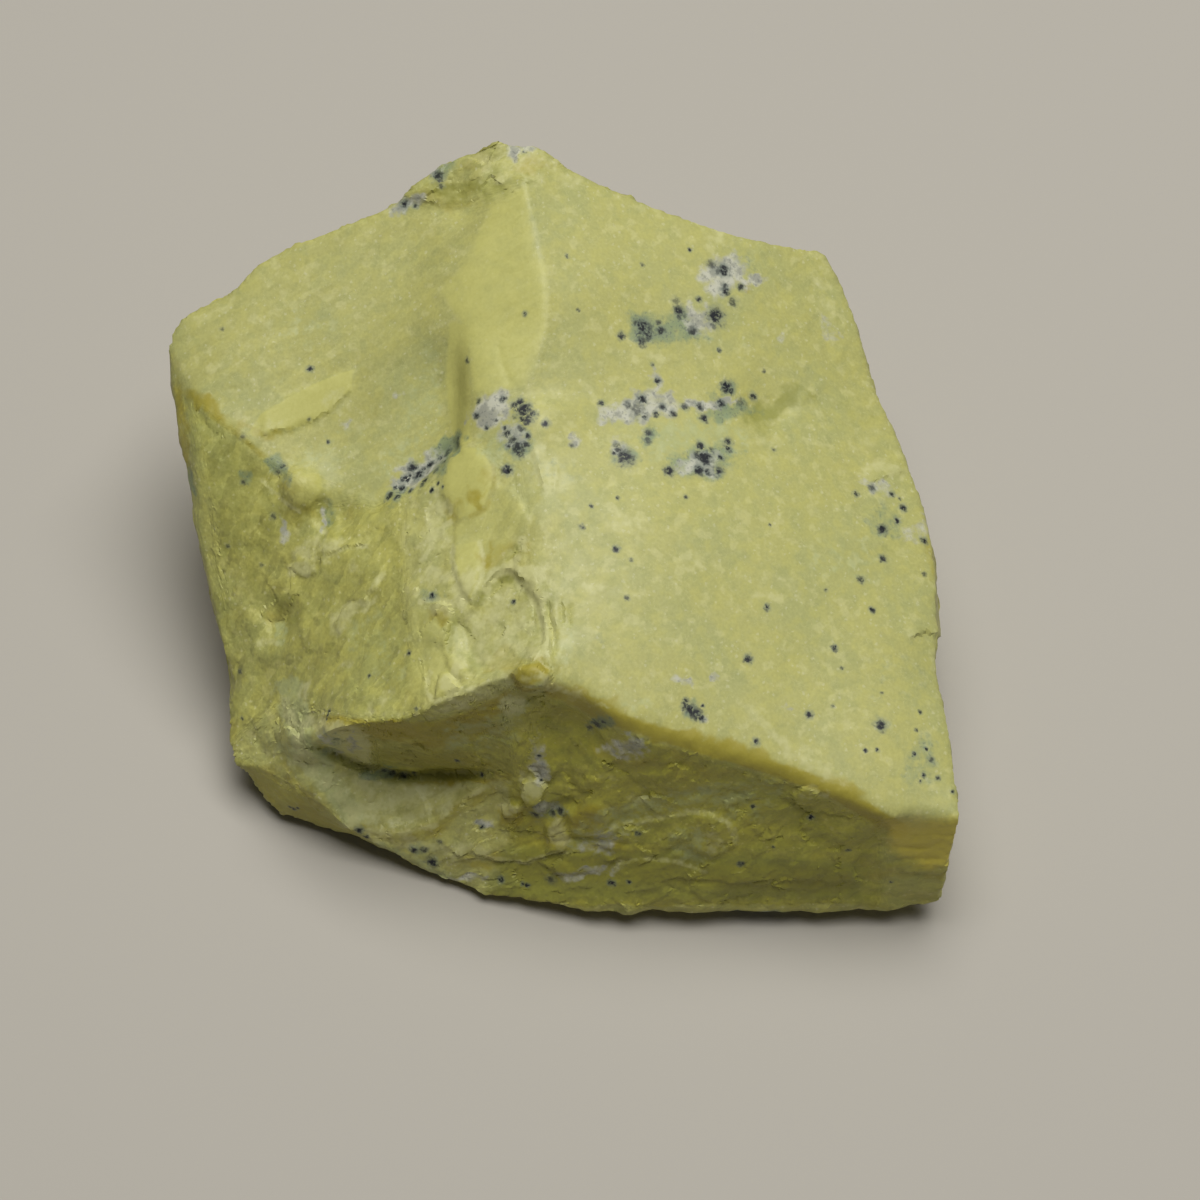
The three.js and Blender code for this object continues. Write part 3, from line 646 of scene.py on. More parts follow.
# %% [markdown]
# ## The grain of the break
#
# The rest of the break follows a rule, and the rule is a Geometry Nodes tree, because its sizes
# then stay as named inputs that can be tried out. Displace modifiers could do some of it, but not
# the tilted chips.
# Two layers of cells give flat chips: inside one cell the surface is a plane with a random tilt,
# so each cell border is a small ledge. Between them lie soft lumps. A noise pulled long in one
# direction gives the streaks of a sheared face, and a fine noise gives the grain. Each zone's
# strengths come in as attributes of the mesh. A few plates are waxy and smooth, and lose most of
# this relief.

# %% Strengths at each point
ZONE_WOBBLE = 6              # how far a zone's border wanders, in squares of the frame
SMOOTH = ("nugget", "rim lump", "second rim lump", "thin chip", "long lens", "yellow lump")
SMOOTHER = 0.85              # share of the relief that these plates lose
SMOOTH_EDGE = 0.25           # width of the change at their edges, in mm

weights = zone_weights(points, normals, ZONE_WOBBLE)
every_zone = list(ZONES.values()) + [HIDDEN]
strengths = np.array([zone[:len(STRENGTHS)] for zone in every_zone]).T @ weights
x, y, scale = in_frame(points)
smooth = np.max([inside(x, y, scale, PLATES[name][-1], SMOOTH_EDGE) for name in SMOOTH], axis=0)
strengths[:RELIEF_STRENGTHS] *= 1 - SMOOTHER * smooth * seen
print("mean strengths:", dict(zip(STRENGTHS, strengths.mean(axis=1).round(2).tolist())))

# %% Direction of the streaks
sight = camera_axes @ Vector((0, 0, -1))
ways = []
for zone, weight in zip(ZONES.values(), weights):
    angle = radians(zone.angle)
    across = camera_axes @ Vector((np.cos(angle), np.sin(angle), 0))
    face = Vector((normals * weight[:, None]).sum(axis=0)).normalized()
    ways.append((across - sight * (across @ face) / (sight @ face)).normalized())
ways.append(Vector((1, 0, 0)))
streak_way = np.array(ways).T @ weights
print("streak directions:", len(ways))

# %% The mesh with its attributes
mesh = bpy.data.meshes.new("serpentine")
mesh.from_pydata(points.tolist(), [], triangles.tolist())
mesh.shade_smooth()
stone = bpy.data.objects.new("serpentine", mesh)
bpy.context.scene.collection.objects.link(stone)


def keep(name, values, kind="FLOAT", domain="POINT"):
    """Stores one value for each point, or face, as an attribute of the mesh."""
    field = "value" if kind == "FLOAT" else "vector"
    layer = mesh.attributes.new(name, kind, domain)
    layer.data.foreach_set(field, np.ascontiguousarray(values, dtype=np.float32).ravel())


for name, strength in zip(STRENGTHS, strengths):
    keep(name, strength)
keep("streak way", streak_way.T, "FLOAT_VECTOR")
print("attributes:", len(mesh.attributes))


# %% Nodes in short
HALF_EACH = (0.5, 0.5, 0.5)  # the middle of a random colour or of three noises


def node(tree, kind, inputs=(), **settings):
    """Adds a node. An input takes a value or another node's output."""
    made = tree.nodes.new(kind)
    for name, value in settings.items():
        setattr(made, name, value)
    for name, value in dict(inputs).items():
        if isinstance(value, bpy.types.NodeSocket):
            tree.links.new(value, made.inputs[name])
        else:
            made.inputs[name].default_value = value
    return made


def sum_up(tree, operation, *values):
    """A Math node's output."""
    return node(tree, "ShaderNodeMath", enumerate(values), operation=operation).outputs[0]


def vector(tree, operation, a, b=(0, 0, 0), scale=1.0):
    """A Vector Math node; its outputs are Vector and Value."""
    inputs = {0: a, 1: b} if operation != "SCALE" else {0: a, "Scale": scale}
    return node(tree, "ShaderNodeVectorMath", inputs, operation=operation).outputs


def socket(tree, name, kind, value=None, way="INPUT"):
    """A named input or output of a node group."""
    made = tree.interface.new_socket(name, in_out=way, socket_type="NodeSocket" + kind)
    if value is not None:
        made.default_value = value
    return made


print("node groups before the first:", len(bpy.data.node_groups))

# %% The relief's inputs
RELIEF = {"Chip Size": 1.7, "Chip Height": 0.32, "Flake Size": 0.5, "Flake Height": 0.12,
          "Lump Size": 1.1, "Lump Height": 0.5, "Streak Size": 0.3, "Streak Height": 0.12,
          "Grain Size": 0.25, "Grain Height": 0.04, "Bend": 0.9, "Flake Stretch": 0.55,
          "Streak Stretch": 0.9, "Seed": 7.0}
BEND_SCALE, BEND_DETAIL = 0.8, 3.0   # of the noise that bends the cells out of line

relief = bpy.data.node_groups.new("broken rock relief", "GeometryNodeTree")
socket(relief, "Stone", "Geometry")
relief_ids = {name: socket(relief, name, "Float", value).identifier
              for name, value in RELIEF.items()}
finish_id = socket(relief, "Finish", "Material").identifier
socket(relief, "Stone", "Geometry", way="OUTPUT")

given = node(relief, "NodeGroupInput").outputs
place = node(relief, "GeometryNodeInputPosition").outputs[0]
in_mm = vector(relief, "SCALE", place, scale=1 / MM)[0]
seeded = vector(relief, "ADD", in_mm, given["Seed"])[0]
bend = node(relief, "ShaderNodeTexNoise", {
    "Vector": seeded, "Scale": BEND_SCALE, "Detail": BEND_DETAIL}).outputs["Color"]
bent = vector(relief, "ADD", seeded, vector(relief, "SCALE", bend, scale=given["Bend"])[0])[0]
print("relief inputs:", len(relief_ids) + 1)


# %% Parts of the relief
def attribute(tree, name, kind="FLOAT"):
    """A value that was stored on the mesh."""
    return node(tree, "GeometryNodeInputNamedAttribute", {"Name": name}, data_type=kind).outputs[0]


def pulled_out(start, share):
    """Positions squeezed along the streaks, so that a pattern on them is pulled long."""
    run = sum_up(relief, "MULTIPLY", vector(relief, "DOT_PRODUCT", start, way)[1], share)
    return vector(relief, "SUBTRACT", start, vector(relief, "SCALE", way, scale=run)[0])[0]


def cells(start, size, height, strength):
    """Flat cells with random tilts."""
    spot = vector(relief, "DIVIDE", start, given[size])[0]
    cell = node(relief, "ShaderNodeTexVoronoi", {"Vector": spot, "Scale": 1.0}).outputs
    away = vector(relief, "SUBTRACT", spot, cell["Position"])[0]
    tilt = vector(relief, "SUBTRACT", cell["Color"], HALF_EACH)[0]
    rise = sum_up(relief, "MULTIPLY", vector(relief, "DOT_PRODUCT", away, tilt)[1], given[height])
    return sum_up(relief, "MULTIPLY", rise, attribute(relief, strength))


def roughness(spot, size, height, strength, detail):
    """Noise of one size."""
    spot = vector(relief, "DIVIDE", spot, given[size])[0]
    wave = node(relief, "ShaderNodeTexNoise", {"Vector": spot, "Scale": 1.0, "Detail": detail})
    rise = sum_up(relief, "SUBTRACT", wave.outputs["Fac"], 0.5)
    rise = sum_up(relief, "MULTIPLY", rise, given[height])
    return sum_up(relief, "MULTIPLY", rise, attribute(relief, strength))


# %% Layers of the relief
LUMP_DETAIL, STREAK_DETAIL, GRAIN_DETAIL = 1.0, 2.0, 3.0

way = attribute(relief, "streak way", "FLOAT_VECTOR")
for_flakes = pulled_out(bent, given["Flake Stretch"])
for_streaks = pulled_out(seeded, given["Streak Stretch"])
layers = [
    cells(bent, "Chip Size", "Chip Height", "chips"),
    cells(for_flakes, "Flake Size", "Flake Height", "flakes"),
    roughness(bent, "Lump Size", "Lump Height", "chips", LUMP_DETAIL),
    roughness(for_streaks, "Streak Size", "Streak Height", "streaks", STREAK_DETAIL),
    roughness(bent, "Grain Size", "Grain Height", "grain", GRAIN_DETAIL),
]
rise = layers[0]
for layer in layers[1:]:
    rise = sum_up(relief, "ADD", rise, layer)
rise = sum_up(relief, "MULTIPLY", rise, MM)
outward = node(relief, "GeometryNodeInputNormal").outputs[0]
moved = node(relief, "GeometryNodeSetPosition", {
    "Geometry": given["Stone"], "Offset": vector(relief, "SCALE", outward, scale=rise)[0]})
real = node(relief, "GeometryNodeRealizeInstances", {"Geometry": moved.outputs[0]})
finished = node(relief, "GeometryNodeSetMaterial", {
    "Geometry": real.outputs[0], "Material": given["Finish"]})
relief.links.new(finished.outputs[0], node(relief, "NodeGroupOutput").inputs[0])
print("relief nodes:", len(relief.nodes))

# %% [markdown]
# ## Put the relief on
#
# A modifier could stay on the stone and be worked out anew for every picture. The stone's final
# shape is also needed for its colours, so the result is made a plain mesh, and the modifier goes.
# The modifier's inputs are set by their identifiers, because names may repeat.

# %% Put the relief on
material = bpy.data.materials.new("serpentine")
modifier = stone.modifiers.new("relief", "NODES")
modifier.node_group = relief
for name, value in RELIEF.items():
    modifier[relief_ids[name]] = value
modifier[finish_id] = material
view = bpy.context.evaluated_depsgraph_get()
mesh = bpy.data.meshes.new_from_object(stone.evaluated_get(view))
stone.modifiers.clear()
stone.data = mesh
print("rough stone:", len(mesh.vertices), "points,", len(mesh.polygons), "faces")

# %% [markdown]
# ## In its box and on its flat spot
#
# The relief pushes some points a little past the size of the real stone, and some of the resting
# face below the floor. Scaling the stone would shift every mark, so the few points that are out
# are pressed back instead. Edges between chips stay crisp in the light, and the rest is smooth.

# %% Keep the stone in its box and on its flat spot
PROUD = 0.15 * MM            # how far a chip may stand out of the solid model's box
CRISP = radians(32)          # an edge with a larger turn than this stays crisp in the light
low, high = (np.array(corner) for corner in cad_box)
points, triangles = as_arrays(mesh)
points = np.clip(points, low * (1, 1, 0) - (PROUD, PROUD, 0), high + PROUD)
mesh.vertices.foreach_set("co", points.ravel())
mesh.update()
mesh.shade_smooth()
mesh.set_sharp_from_angle(angle=CRISP)
normals = normals_of(points, triangles)
tree = BVHTree.FromPolygons(points.tolist(), triangles.tolist())
seen = seen_by_camera(points, normals)
print("height of the stone, mm:", round(float(np.ptp(points[:, 2])) / MM, 2))

# %% [markdown]
# ## Patches of colour
#
# The colour of serpentine changes with its minerals: cream and mint patches of fine crystals,
# grey-white veins and blue-green stain in them. Other patches are painted light and shade: dark
# green, partly the rock's colour and partly painted shade in the hollows and low on the front;
# ochre, a painted glow where light comes through thin edges and painted shade under lumps; amber,
# painted light on a corner facet; and some cream, painted light in shaded hollows. Painting an
# image is the usual way, but an image has a fixed number of dots, and a table of places stays sharp
# at any size. A patch is an oval laid on the surface, an area has an outline, and a band follows a
# line. Their edges are broken up later, in the material.

# %% Kinds of colour
# kind: (colour, how far soft and middle noise break its edge, softness of the edge, strength)
TINTS = {
    "butter": ((0.545, 0.525, 0.155, 1), 0.3, 0.1, 0.4, 0.9),
    # ochre: painted glow of light through thin rock, and painted shade
    "ochre_glow_and_shade": ((0.36, 0.30, 0.03, 1), 0.5, 0.25, 0.5, 0.85),
    # dark green: partly the rock's colour, partly painted shade
    "dark_green_and_shade": ((0.27, 0.275, 0.055, 1), 0.6, 0.3, 0.5, 0.7),
    "mint": ((0.42, 0.47, 0.23, 1), 0.8, 0.5, 0.4, 0.55),
    "cream": ((0.60, 0.585, 0.27, 1), 0.9, 0.5, 0.5, 0.7),
    "teal": ((0.17, 0.25, 0.16, 1), 0.7, 0.4, 0.45, 0.65),
    # amber: painted light
    "amber_painted_light": ((0.70, 0.58, 0.08, 1), 0.4, 0.2, 0.5, 0.75),
    "white": ((0.55, 0.545, 0.43, 1), 0.7, 0.55, 0.5, 0.95),
}
print("kinds of colour:", ", ".join(TINTS))

# %% Oval patches
# kind: (across, down, half length, half width, turn in degrees, strength)
PATCHES = {
    "white": [
        (722, 275, 21, 18, 20, 1.0), (751, 281, 16, 6, 0, 1.1), (696, 318, 15, 13, 0, 1.0),
        (632, 411, 33, 12, 15, 0.9), (654, 383, 4, 18, -15, 0.7), (668, 404, 10, 12, 0, 0.8),
        (710, 404, 27, 5, 3, 1.3), (607, 430, 7, 3, 0, 0.9), (622, 446, 9, 5, 0, 0.9),
        (704, 463, 16, 12, 0, 1.0), (686, 471, 8, 4, 0, 0.7), (492, 410, 18, 15, 0, 1.0),
        (512, 434, 12, 10, 0, 0.7), (573, 440, 7, 7, 0, 0.6), (416, 474, 28, 11, 42, 1.2),
        (405, 487, 8, 6, 30, 0.9), (710, 716, 6, 6, 0, 0.9), (686, 678, 7, 4, 0, 0.9),
        (712, 679, 7, 4, 0, 0.9), (430, 168, 12, 10, 40, 0.8), (410, 203, 14, 6, 10, 0.8),
        (527, 146, 9, 9, 0, 0.9), (512, 152, 6, 5, 0, 0.7), (540, 770, 9, 10, 0, 0.9),
        (628, 748, 22, 9, 0, 0.55), (486, 825, 7, 4, 0, 0.9), (552, 812, 16, 6, 0, 0.6),
        (535, 748, 8, 14, 0, 0.4), (600, 842, 26, 8, 10, 0.4),
        (324, 737, 9, 3, -30, 0.6), (352, 742, 4, 10, 0, 0.6), (338, 752, 6, 3, 20, 0.5),
        (322, 518, 3, 14, 0, 0.7), (281, 528, 4, 10, -15, 0.6),
        # painted highlight: the small white oval at 400, 396 stands for a glint
        (400, 396, 3, 3, 0, 1.3), (343, 424, 10, 5, 10, 0.5),
        (470, 880, 20, 4, 8, 0.6),
        (590, 872, 34, 5, 3, 0.5), (878, 490, 20, 6, -10, 0.5), (915, 530, 20, 8, 30, 0.4),
        (786, 705, 5, 5, 0, 0.4), (780, 340, 10, 4, 30, 0.4), (830, 330, 6, 12, 40, 0.3)],
    "teal": [
        (676, 330, 26, 16, 0, 0.9), (645, 328, 20, 15, 0, 1.0), (628, 336, 8, 6, 0, 0.7),
        (728, 414, 24, 8, 5, 0.9), (726, 388, 10, 9, 0, 0.7), (704, 462, 30, 18, 5, 0.8),
        (650, 436, 10, 14, 0, 0.7), (625, 456, 16, 11, 0, 0.5), (452, 443, 15, 8, 42, 1.5),
        (438, 455, 18, 9, 42, 1.1),
        (436, 462, 22, 10, 42, 0.8), (398, 494, 12, 8, 20, 0.7), (518, 440, 18, 14, 0, 0.5),
        (281, 467, 8, 12, 10, 0.8), (246, 480, 8, 10, 0, 0.5), (188, 486, 5, 16, 8, 0.8),
        (921, 762, 20, 26, 0, 0.4), (884, 524, 20, 20, 0, 0.35), (597, 724, 14, 7, 5, 0.9),
        (692, 712, 10, 9, 0, 0.8), (640, 741, 18, 6, 0, 0.4), (552, 813, 18, 9, 0, 0.7),
        (440, 168, 14, 12, 40, 0.7), (410, 204, 12, 6, 0, 0.7), (527, 143, 6, 8, 0, 0.5),
        (433, 596, 12, 9, 0, 0.4), (378, 772, 20, 6, -8, 0.8), (330, 515, 6, 16, 0, 0.6),
        (900, 690, 40, 60, 0, 0.15), (420, 850, 16, 8, 0, 0.3), (600, 642, 14, 8, 0, 0.25),
        (545, 470, 40, 16, 0, 0.2), (740, 270, 18, 20, 0, 0.3), (330, 742, 14, 12, -30, 0.4)],
    "cream": [
        (628, 748, 24, 10, 0, 0.55), (262, 426, 20, 8, 20, 0.4), (500, 618, 20, 11, -10, 0.6),
        (536, 652, 10, 8, 20, 0.7),
        (519, 546, 6, 8, -40, 0.9), (430, 528, 6, 12, 20, 0.7), (323, 560, 6, 4, 0, 0.8),
        (353, 570, 8, 7, 0, 0.6), (304, 692, 5, 12, -30, 0.8), (305, 762, 12, 8, 0, 0.6),
        (518, 640, 12, 10, 0, 0.5), (500, 650, 10, 8, 0, 0.45), (437, 494, 6, 10, 10, 0.9),
        (312, 548, 16, 10, 20, 0.6), (330, 545, 10, 14, 30, 0.5), (356, 616, 26, 6, 45, 0.7),
        (372, 590, 16, 5, 45, 0.5), (296, 726, 8, 14, -20, 0.7), (318, 776, 14, 8, -30, 0.6),
        (270, 640, 12, 6, 0, 0.6), (345, 668, 16, 4, 50, 0.4), (380, 700, 18, 4, 40, 0.4),
        (437, 524, 9, 20, 15, 0.9), (446, 508, 10, 6, 30, 0.9), (432, 545, 12, 8, 0, 0.7),
        (432, 577, 14, 9, 20, 0.8), (466, 586, 10, 20, -15, 1.0), (511, 563, 12, 6, 20, 0.9),
        (530, 579, 10, 20, -35, 1.1), (541, 592, 8, 8, 0, 0.9), (556, 622, 8, 26, 5, 0.9),
        (548, 640, 6, 20, 5, 0.7), (538, 466, 8, 26, 10, 0.9), (555, 486, 14, 12, 0, 1.0),
        (557, 466, 4, 14, 0, 0.7), (512, 620, 20, 16, 0, 0.6), (450, 686, 14, 12, 0, 0.9),
        (440, 612, 14, 7, 0, 0.7), (456, 664, 8, 16, -30, 0.8), (302, 568, 14, 8, 0, 0.8),
        (352, 612, 24, 8, 38, 0.6), (340, 402, 14, 14, 0, 0.5), (240, 350, 60, 30, 20, 0.15),
        (810, 762, 44, 8, -35, 0.6), (760, 715, 20, 5, -45, 0.5), (470, 700, 46, 6, 24, 0.6),
        (560, 690, 50, 6, -20, 0.5), (885, 470, 22, 8, 0, 0.7), (860, 440, 20, 8, 0, 0.3),
        (826, 300, 12, 30, 20, 0.4), (735, 243, 40, 6, -15, 0.4), (775, 590, 30, 14, 0, 0.2),
        (620, 520, 22, 12, 0, 0.4), (700, 560, 26, 14, 10, 0.25), (600, 590, 12, 6, 0, 0.5),
        (630, 592, 8, 5, 0, 0.6), (765, 440, 14, 5, -10, 0.5), (795, 415, 26, 6, 10, 0.4),
        (648, 358, 40, 14, -15, 0.2), (295, 475, 18, 8, 0, 0.4), (390, 715, 30, 5, 5, 0.3),
        (535, 790, 13, 13, 0, 0.9), (513, 808, 10, 7, 0, 0.8), (557, 834, 10, 12, 0, 0.6),
        (440, 847, 40, 6, -5, 0.6), (715, 842, 12, 16, 0, 0.35), (340, 790, 26, 14, -30, 0.35),
        (395, 838, 30, 8, -20, 0.5), (640, 790, 40, 10, -12, 0.2), (806, 796, 14, 7, 0, 0.4),
        (520, 150, 26, 14, 0, 0.4), (545, 166, 20, 12, 0, 0.35), (500, 176, 20, 8, 0, 0.3),
        (488, 160, 16, 12, -20, 0.4), (575, 180, 14, 8, 0, 0.5), (700, 225, 30, 6, -20, 0.4)],
    "mint": [
        (514, 704, 13, 9, 0, 1.0), (690, 440, 52, 26, 0, 0.6), (510, 450, 30, 24, 0, 0.5),
        (480, 730, 40, 16, 20, 0.6), (282, 632, 9, 14, 10, 0.8), (287, 700, 16, 17, 0, 0.9),
        (300, 745, 20, 22, 0, 0.6), (309, 765, 12, 7, 0, 0.8), (690, 846, 20, 18, 0, 0.5),
        (604, 834, 40, 10, 12, 0.5), (744, 806, 40, 14, 10, 0.3), (490, 735, 30, 20, 0, 0.4),
        (850, 560, 40, 30, 0, 0.25), (300, 330, 40, 20, 20, 0.25), (330, 450, 40, 16, 30, 0.3),
        (720, 330, 60, 20, 0, 0.15), (560, 640, 14, 30, 0, 0.3), (620, 700, 40, 14, -15, 0.3),
        (380, 650, 30, 40, 0, 0.2), (375, 815, 30, 16, 0, 0.4), (450, 815, 30, 14, 0, 0.2)],
    # dark green, partly the rock's colour and partly painted shade between plates, in dents, under the
    # ledge and low on the front
    "dark_green_and_shade": [
        (772, 408, 28, 9, 20, 1.0), (800, 398, 22, 6, -20, 0.6), (762, 425, 10, 5, 0, 0.5),
        (322, 520, 8, 24, 0, 0.7), (336, 530, 6, 16, 10, 0.6), (302, 520, 10, 8, 0, 0.4),
        (284, 600, 14, 9, 0, 0.6), (300, 616, 8, 22, -20, 0.5), (316, 600, 6, 20, -30, 0.4),
        (250, 560, 8, 40, 8, 0.4), (220, 600, 8, 50, 8, 0.4), (236, 690, 12, 24, 10, 0.4),
        (232, 480, 24, 40, 20, 0.35), (262, 505, 18, 16, 0, 0.35), (350, 740, 20, 14, 30, 0.4),
        (400, 756, 34, 12, 0, 0.6), (450, 758, 40, 12, 0, 0.5), (440, 730, 20, 8, 0, 0.3),
        (500, 755, 20, 22, 0, 0.4), (552, 726, 18, 8, 0, 0.5), (575, 745, 14, 10, 0, 0.4),
        (560, 800, 14, 6, 0, 0.5), (520, 830, 26, 8, 0, 0.5), (585, 862, 30, 6, 0, 0.4),
        (660, 870, 50, 7, 0, 0.4), (760, 872, 50, 7, 0, 0.4), (860, 860, 40, 8, 0, 0.3),
        (690, 790, 50, 12, 0, 0.2), (850, 840, 30, 12, 0, 0.3), (476, 648, 6, 26, -15, 0.6),
        (494, 590, 12, 20, 20, 0.35), (424, 640, 6, 30, 0, 0.3), (470, 530, 14, 8, 0, 0.3),
        (455, 190, 24, 10, 10, 0.7), (486, 186, 20, 10, 0, 0.7), (416, 190, 10, 6, 30, 0.4),
        (860, 420, 26, 8, -10, 0.3), (845, 405, 18, 6, 10, 0.3), (885, 555, 16, 6, 0, 0.3),
        (400, 380, 30, 70, 20, 0.2), (195, 430, 8, 40, 6, 0.4)],
    # ochre: painted glow where light comes through the knob and the edges, and painted shade under
    # lumps and ridges
    "ochre_glow_and_shade": [
        (531, 676, 20, 11, 0, 1.4), (590, 703, 40, 9, -22, 1.1), (670, 734, 60, 7, -14, 0.9),
        (740, 754, 50, 8, -18, 1.0), (858, 802, 40, 9, -42, 1.0),
        (392, 731, 26, 8, 5, 1.2), (460, 735, 50, 9, 12, 0.9), (440, 760, 60, 9, -5, 0.7),
        (462, 777, 42, 6, 2, 1.2), (455, 510, 9, 12, 0, 0.5), (487, 482, 6, 14, 0, 0.4),
        (506, 655, 16, 8, 5, 0.6), (440, 618, 10, 6, 0, 0.7), (520, 558, 16, 14, 0, 0.4),
        (498, 555, 20, 8, 30, 0.4), (300, 514, 16, 12, 0, 0.4), (362, 515, 18, 12, 0, 0.25),
        (207, 408, 30, 5, -40, 0.8), (262, 432, 26, 5, -10, 0.6), (180, 430, 8, 60, 4, 0.7),
        (742, 402, 6, 5, 0, 0.5), (745, 285, 8, 4, 0, 0.7),
        (450, 196, 34, 11, 10, 0.35), (470, 170, 30, 14, 30, 0.25), (532, 162, 14, 8, 0, 0.6),
        (276, 612, 12, 12, 0, 0.3), (230, 740, 10, 26, 0, 0.3), (290, 800, 60, 26, -35, 0.5),
        (520, 858, 80, 8, 3, 0.6), (604, 858, 44, 16, 0, 0.7), (700, 874, 90, 8, 0, 0.4),
        (900, 868, 60, 12, 0, 0.4),
        (650, 760, 90, 14, -12, 0.4), (930, 555, 6, 20, 15, 0.5), (375, 405, 8, 14, 0, 0.2),
        (290, 480, 30, 8, 0, 0.3), (545, 830, 60, 40, 0, 0.35), (410, 800, 60, 30, 0, 0.3),
        (588, 820, 20, 15, 0, 0.8), (514, 820, 12, 16, 0, 0.8), (556, 838, 12, 14, 0, 0.7),
        (487, 556, 14, 7, 50, 0.8), (520, 664, 40, 8, 0, 0.5), (440, 760, 30, 14, 0, 0.5),
        (304, 516, 16, 12, 0, 0.4), (476, 500, 8, 12, 30, 0.8)],
}
print("patches:", {kind: len(ovals) for kind, ovals in PATCHES.items()})

# %% Areas
# kind: (strength, softness of the border in mm, outline)
AREAS = {
    # painted light: a brighter amber on the corner facet at the right end of the front
    "amber_painted_light": [
        (1.0, 0.9, [(890, 822), (930, 820), (966, 820), (966, 862), (930, 868), (892, 850)])],
    "butter": [
        (0.66, 0.45, [
            (526, 183), (508, 194), (490, 205), (480, 227), (470, 252), (457, 270), (440, 292),
            (452, 312), (463, 327), (464, 345), (469, 370), (470, 395), (490, 392), (512, 391),
            (527, 387), (537, 360), (547, 332), (549, 295), (546, 265), (535, 245), (530, 207)]),
        (1.0, 0.15, [
            (246, 436), (262, 413), (291, 396), (323, 380), (354, 369), (351, 389), (332, 412),
            (291, 430), (262, 436)]),
        (1.0, 0.2, PLATES["nugget"][-1]),
        (0.7, 0.15, [(452, 545), (478, 541), (482, 560), (479, 580), (470, 602), (462, 590)]),
        (0.5, 0.35, [
            (418, 608), (430, 601), (451, 604), (453, 614), (446, 626), (445, 652), (438, 672),
            (425, 692), (411, 662), (412, 630)]),
        (1.0, 0.1, [(441, 673), (447, 674), (455, 682), (463, 688), (450, 693), (436, 699)]),
        (0.5, 0.3, [(522, 779), (537, 776), (554, 786), (548, 804), (528, 805)]),
        (0.6, 0.2, [(283, 478), (298, 470), (320, 474), (323, 490), (310, 506), (288, 504)]),
        (0.5, 0.4, [(412, 606), (452, 602), (454, 640), (464, 688), (432, 704), (408, 700)]),
        (0.45, 0.6, [
            (455, 522), (500, 484), (526, 500), (530, 522), (486, 580), (470, 602), (452, 560)]),
        # painted light: this area lightens the shade beside the step at the chisel facet's left edge
        (1.2, 0.4, [(450, 322), (468, 326), (470, 440), (462, 446), (452, 430), (446, 380)])],
    "mint": [
        (0.35, 0.8, [
            (425, 330), (440, 350), (440, 395), (440, 440), (425, 462), (400, 485), (372, 476),
            (398, 420), (420, 350)]),
        (0.3, 0.5, [(330, 770), (400, 784), (455, 784), (450, 815), (400, 828), (350, 822)])],
    # pale patches that also paint light: they lighten the shade in the hollow of the dark lens, on the
    # ledge and its left end, and on the lower lump
    "cream": [
        (0.6, 0.7, [
            (470, 612), (498, 592), (528, 604), (540, 640), (530, 660), (480, 668), (465, 640)]),
        (0.95, 0.5, [(501, 698), (514, 694), (527, 700), (524, 712), (510, 716), (500, 708)]),
        (0.8, 0.3, [(306, 716), (352, 724), (370, 736), (370, 764), (330, 752)]),
        (0.6, 0.5, [(320, 765), (400, 784), (470, 784), (450, 810), (400, 826), (345, 820)])],
    # painted shade: darker on the left front face, along the left rim and low along the front face
    "dark_green_and_shade": [
        (0.24, 0.9, [(290, 560), (400, 530), (412, 690), (370, 714), (285, 698)]),
        (0.45, 0.8, [
            (190, 400), (238, 440), (270, 466), (290, 520), (270, 560), (220, 560), (205, 480)]),
        (0.9, 0.5, [(505, 846), (700, 852), (860, 862), (860, 900), (480, 900)])],
}
print("areas:", {kind: len(areas) for kind, areas in AREAS.items()})

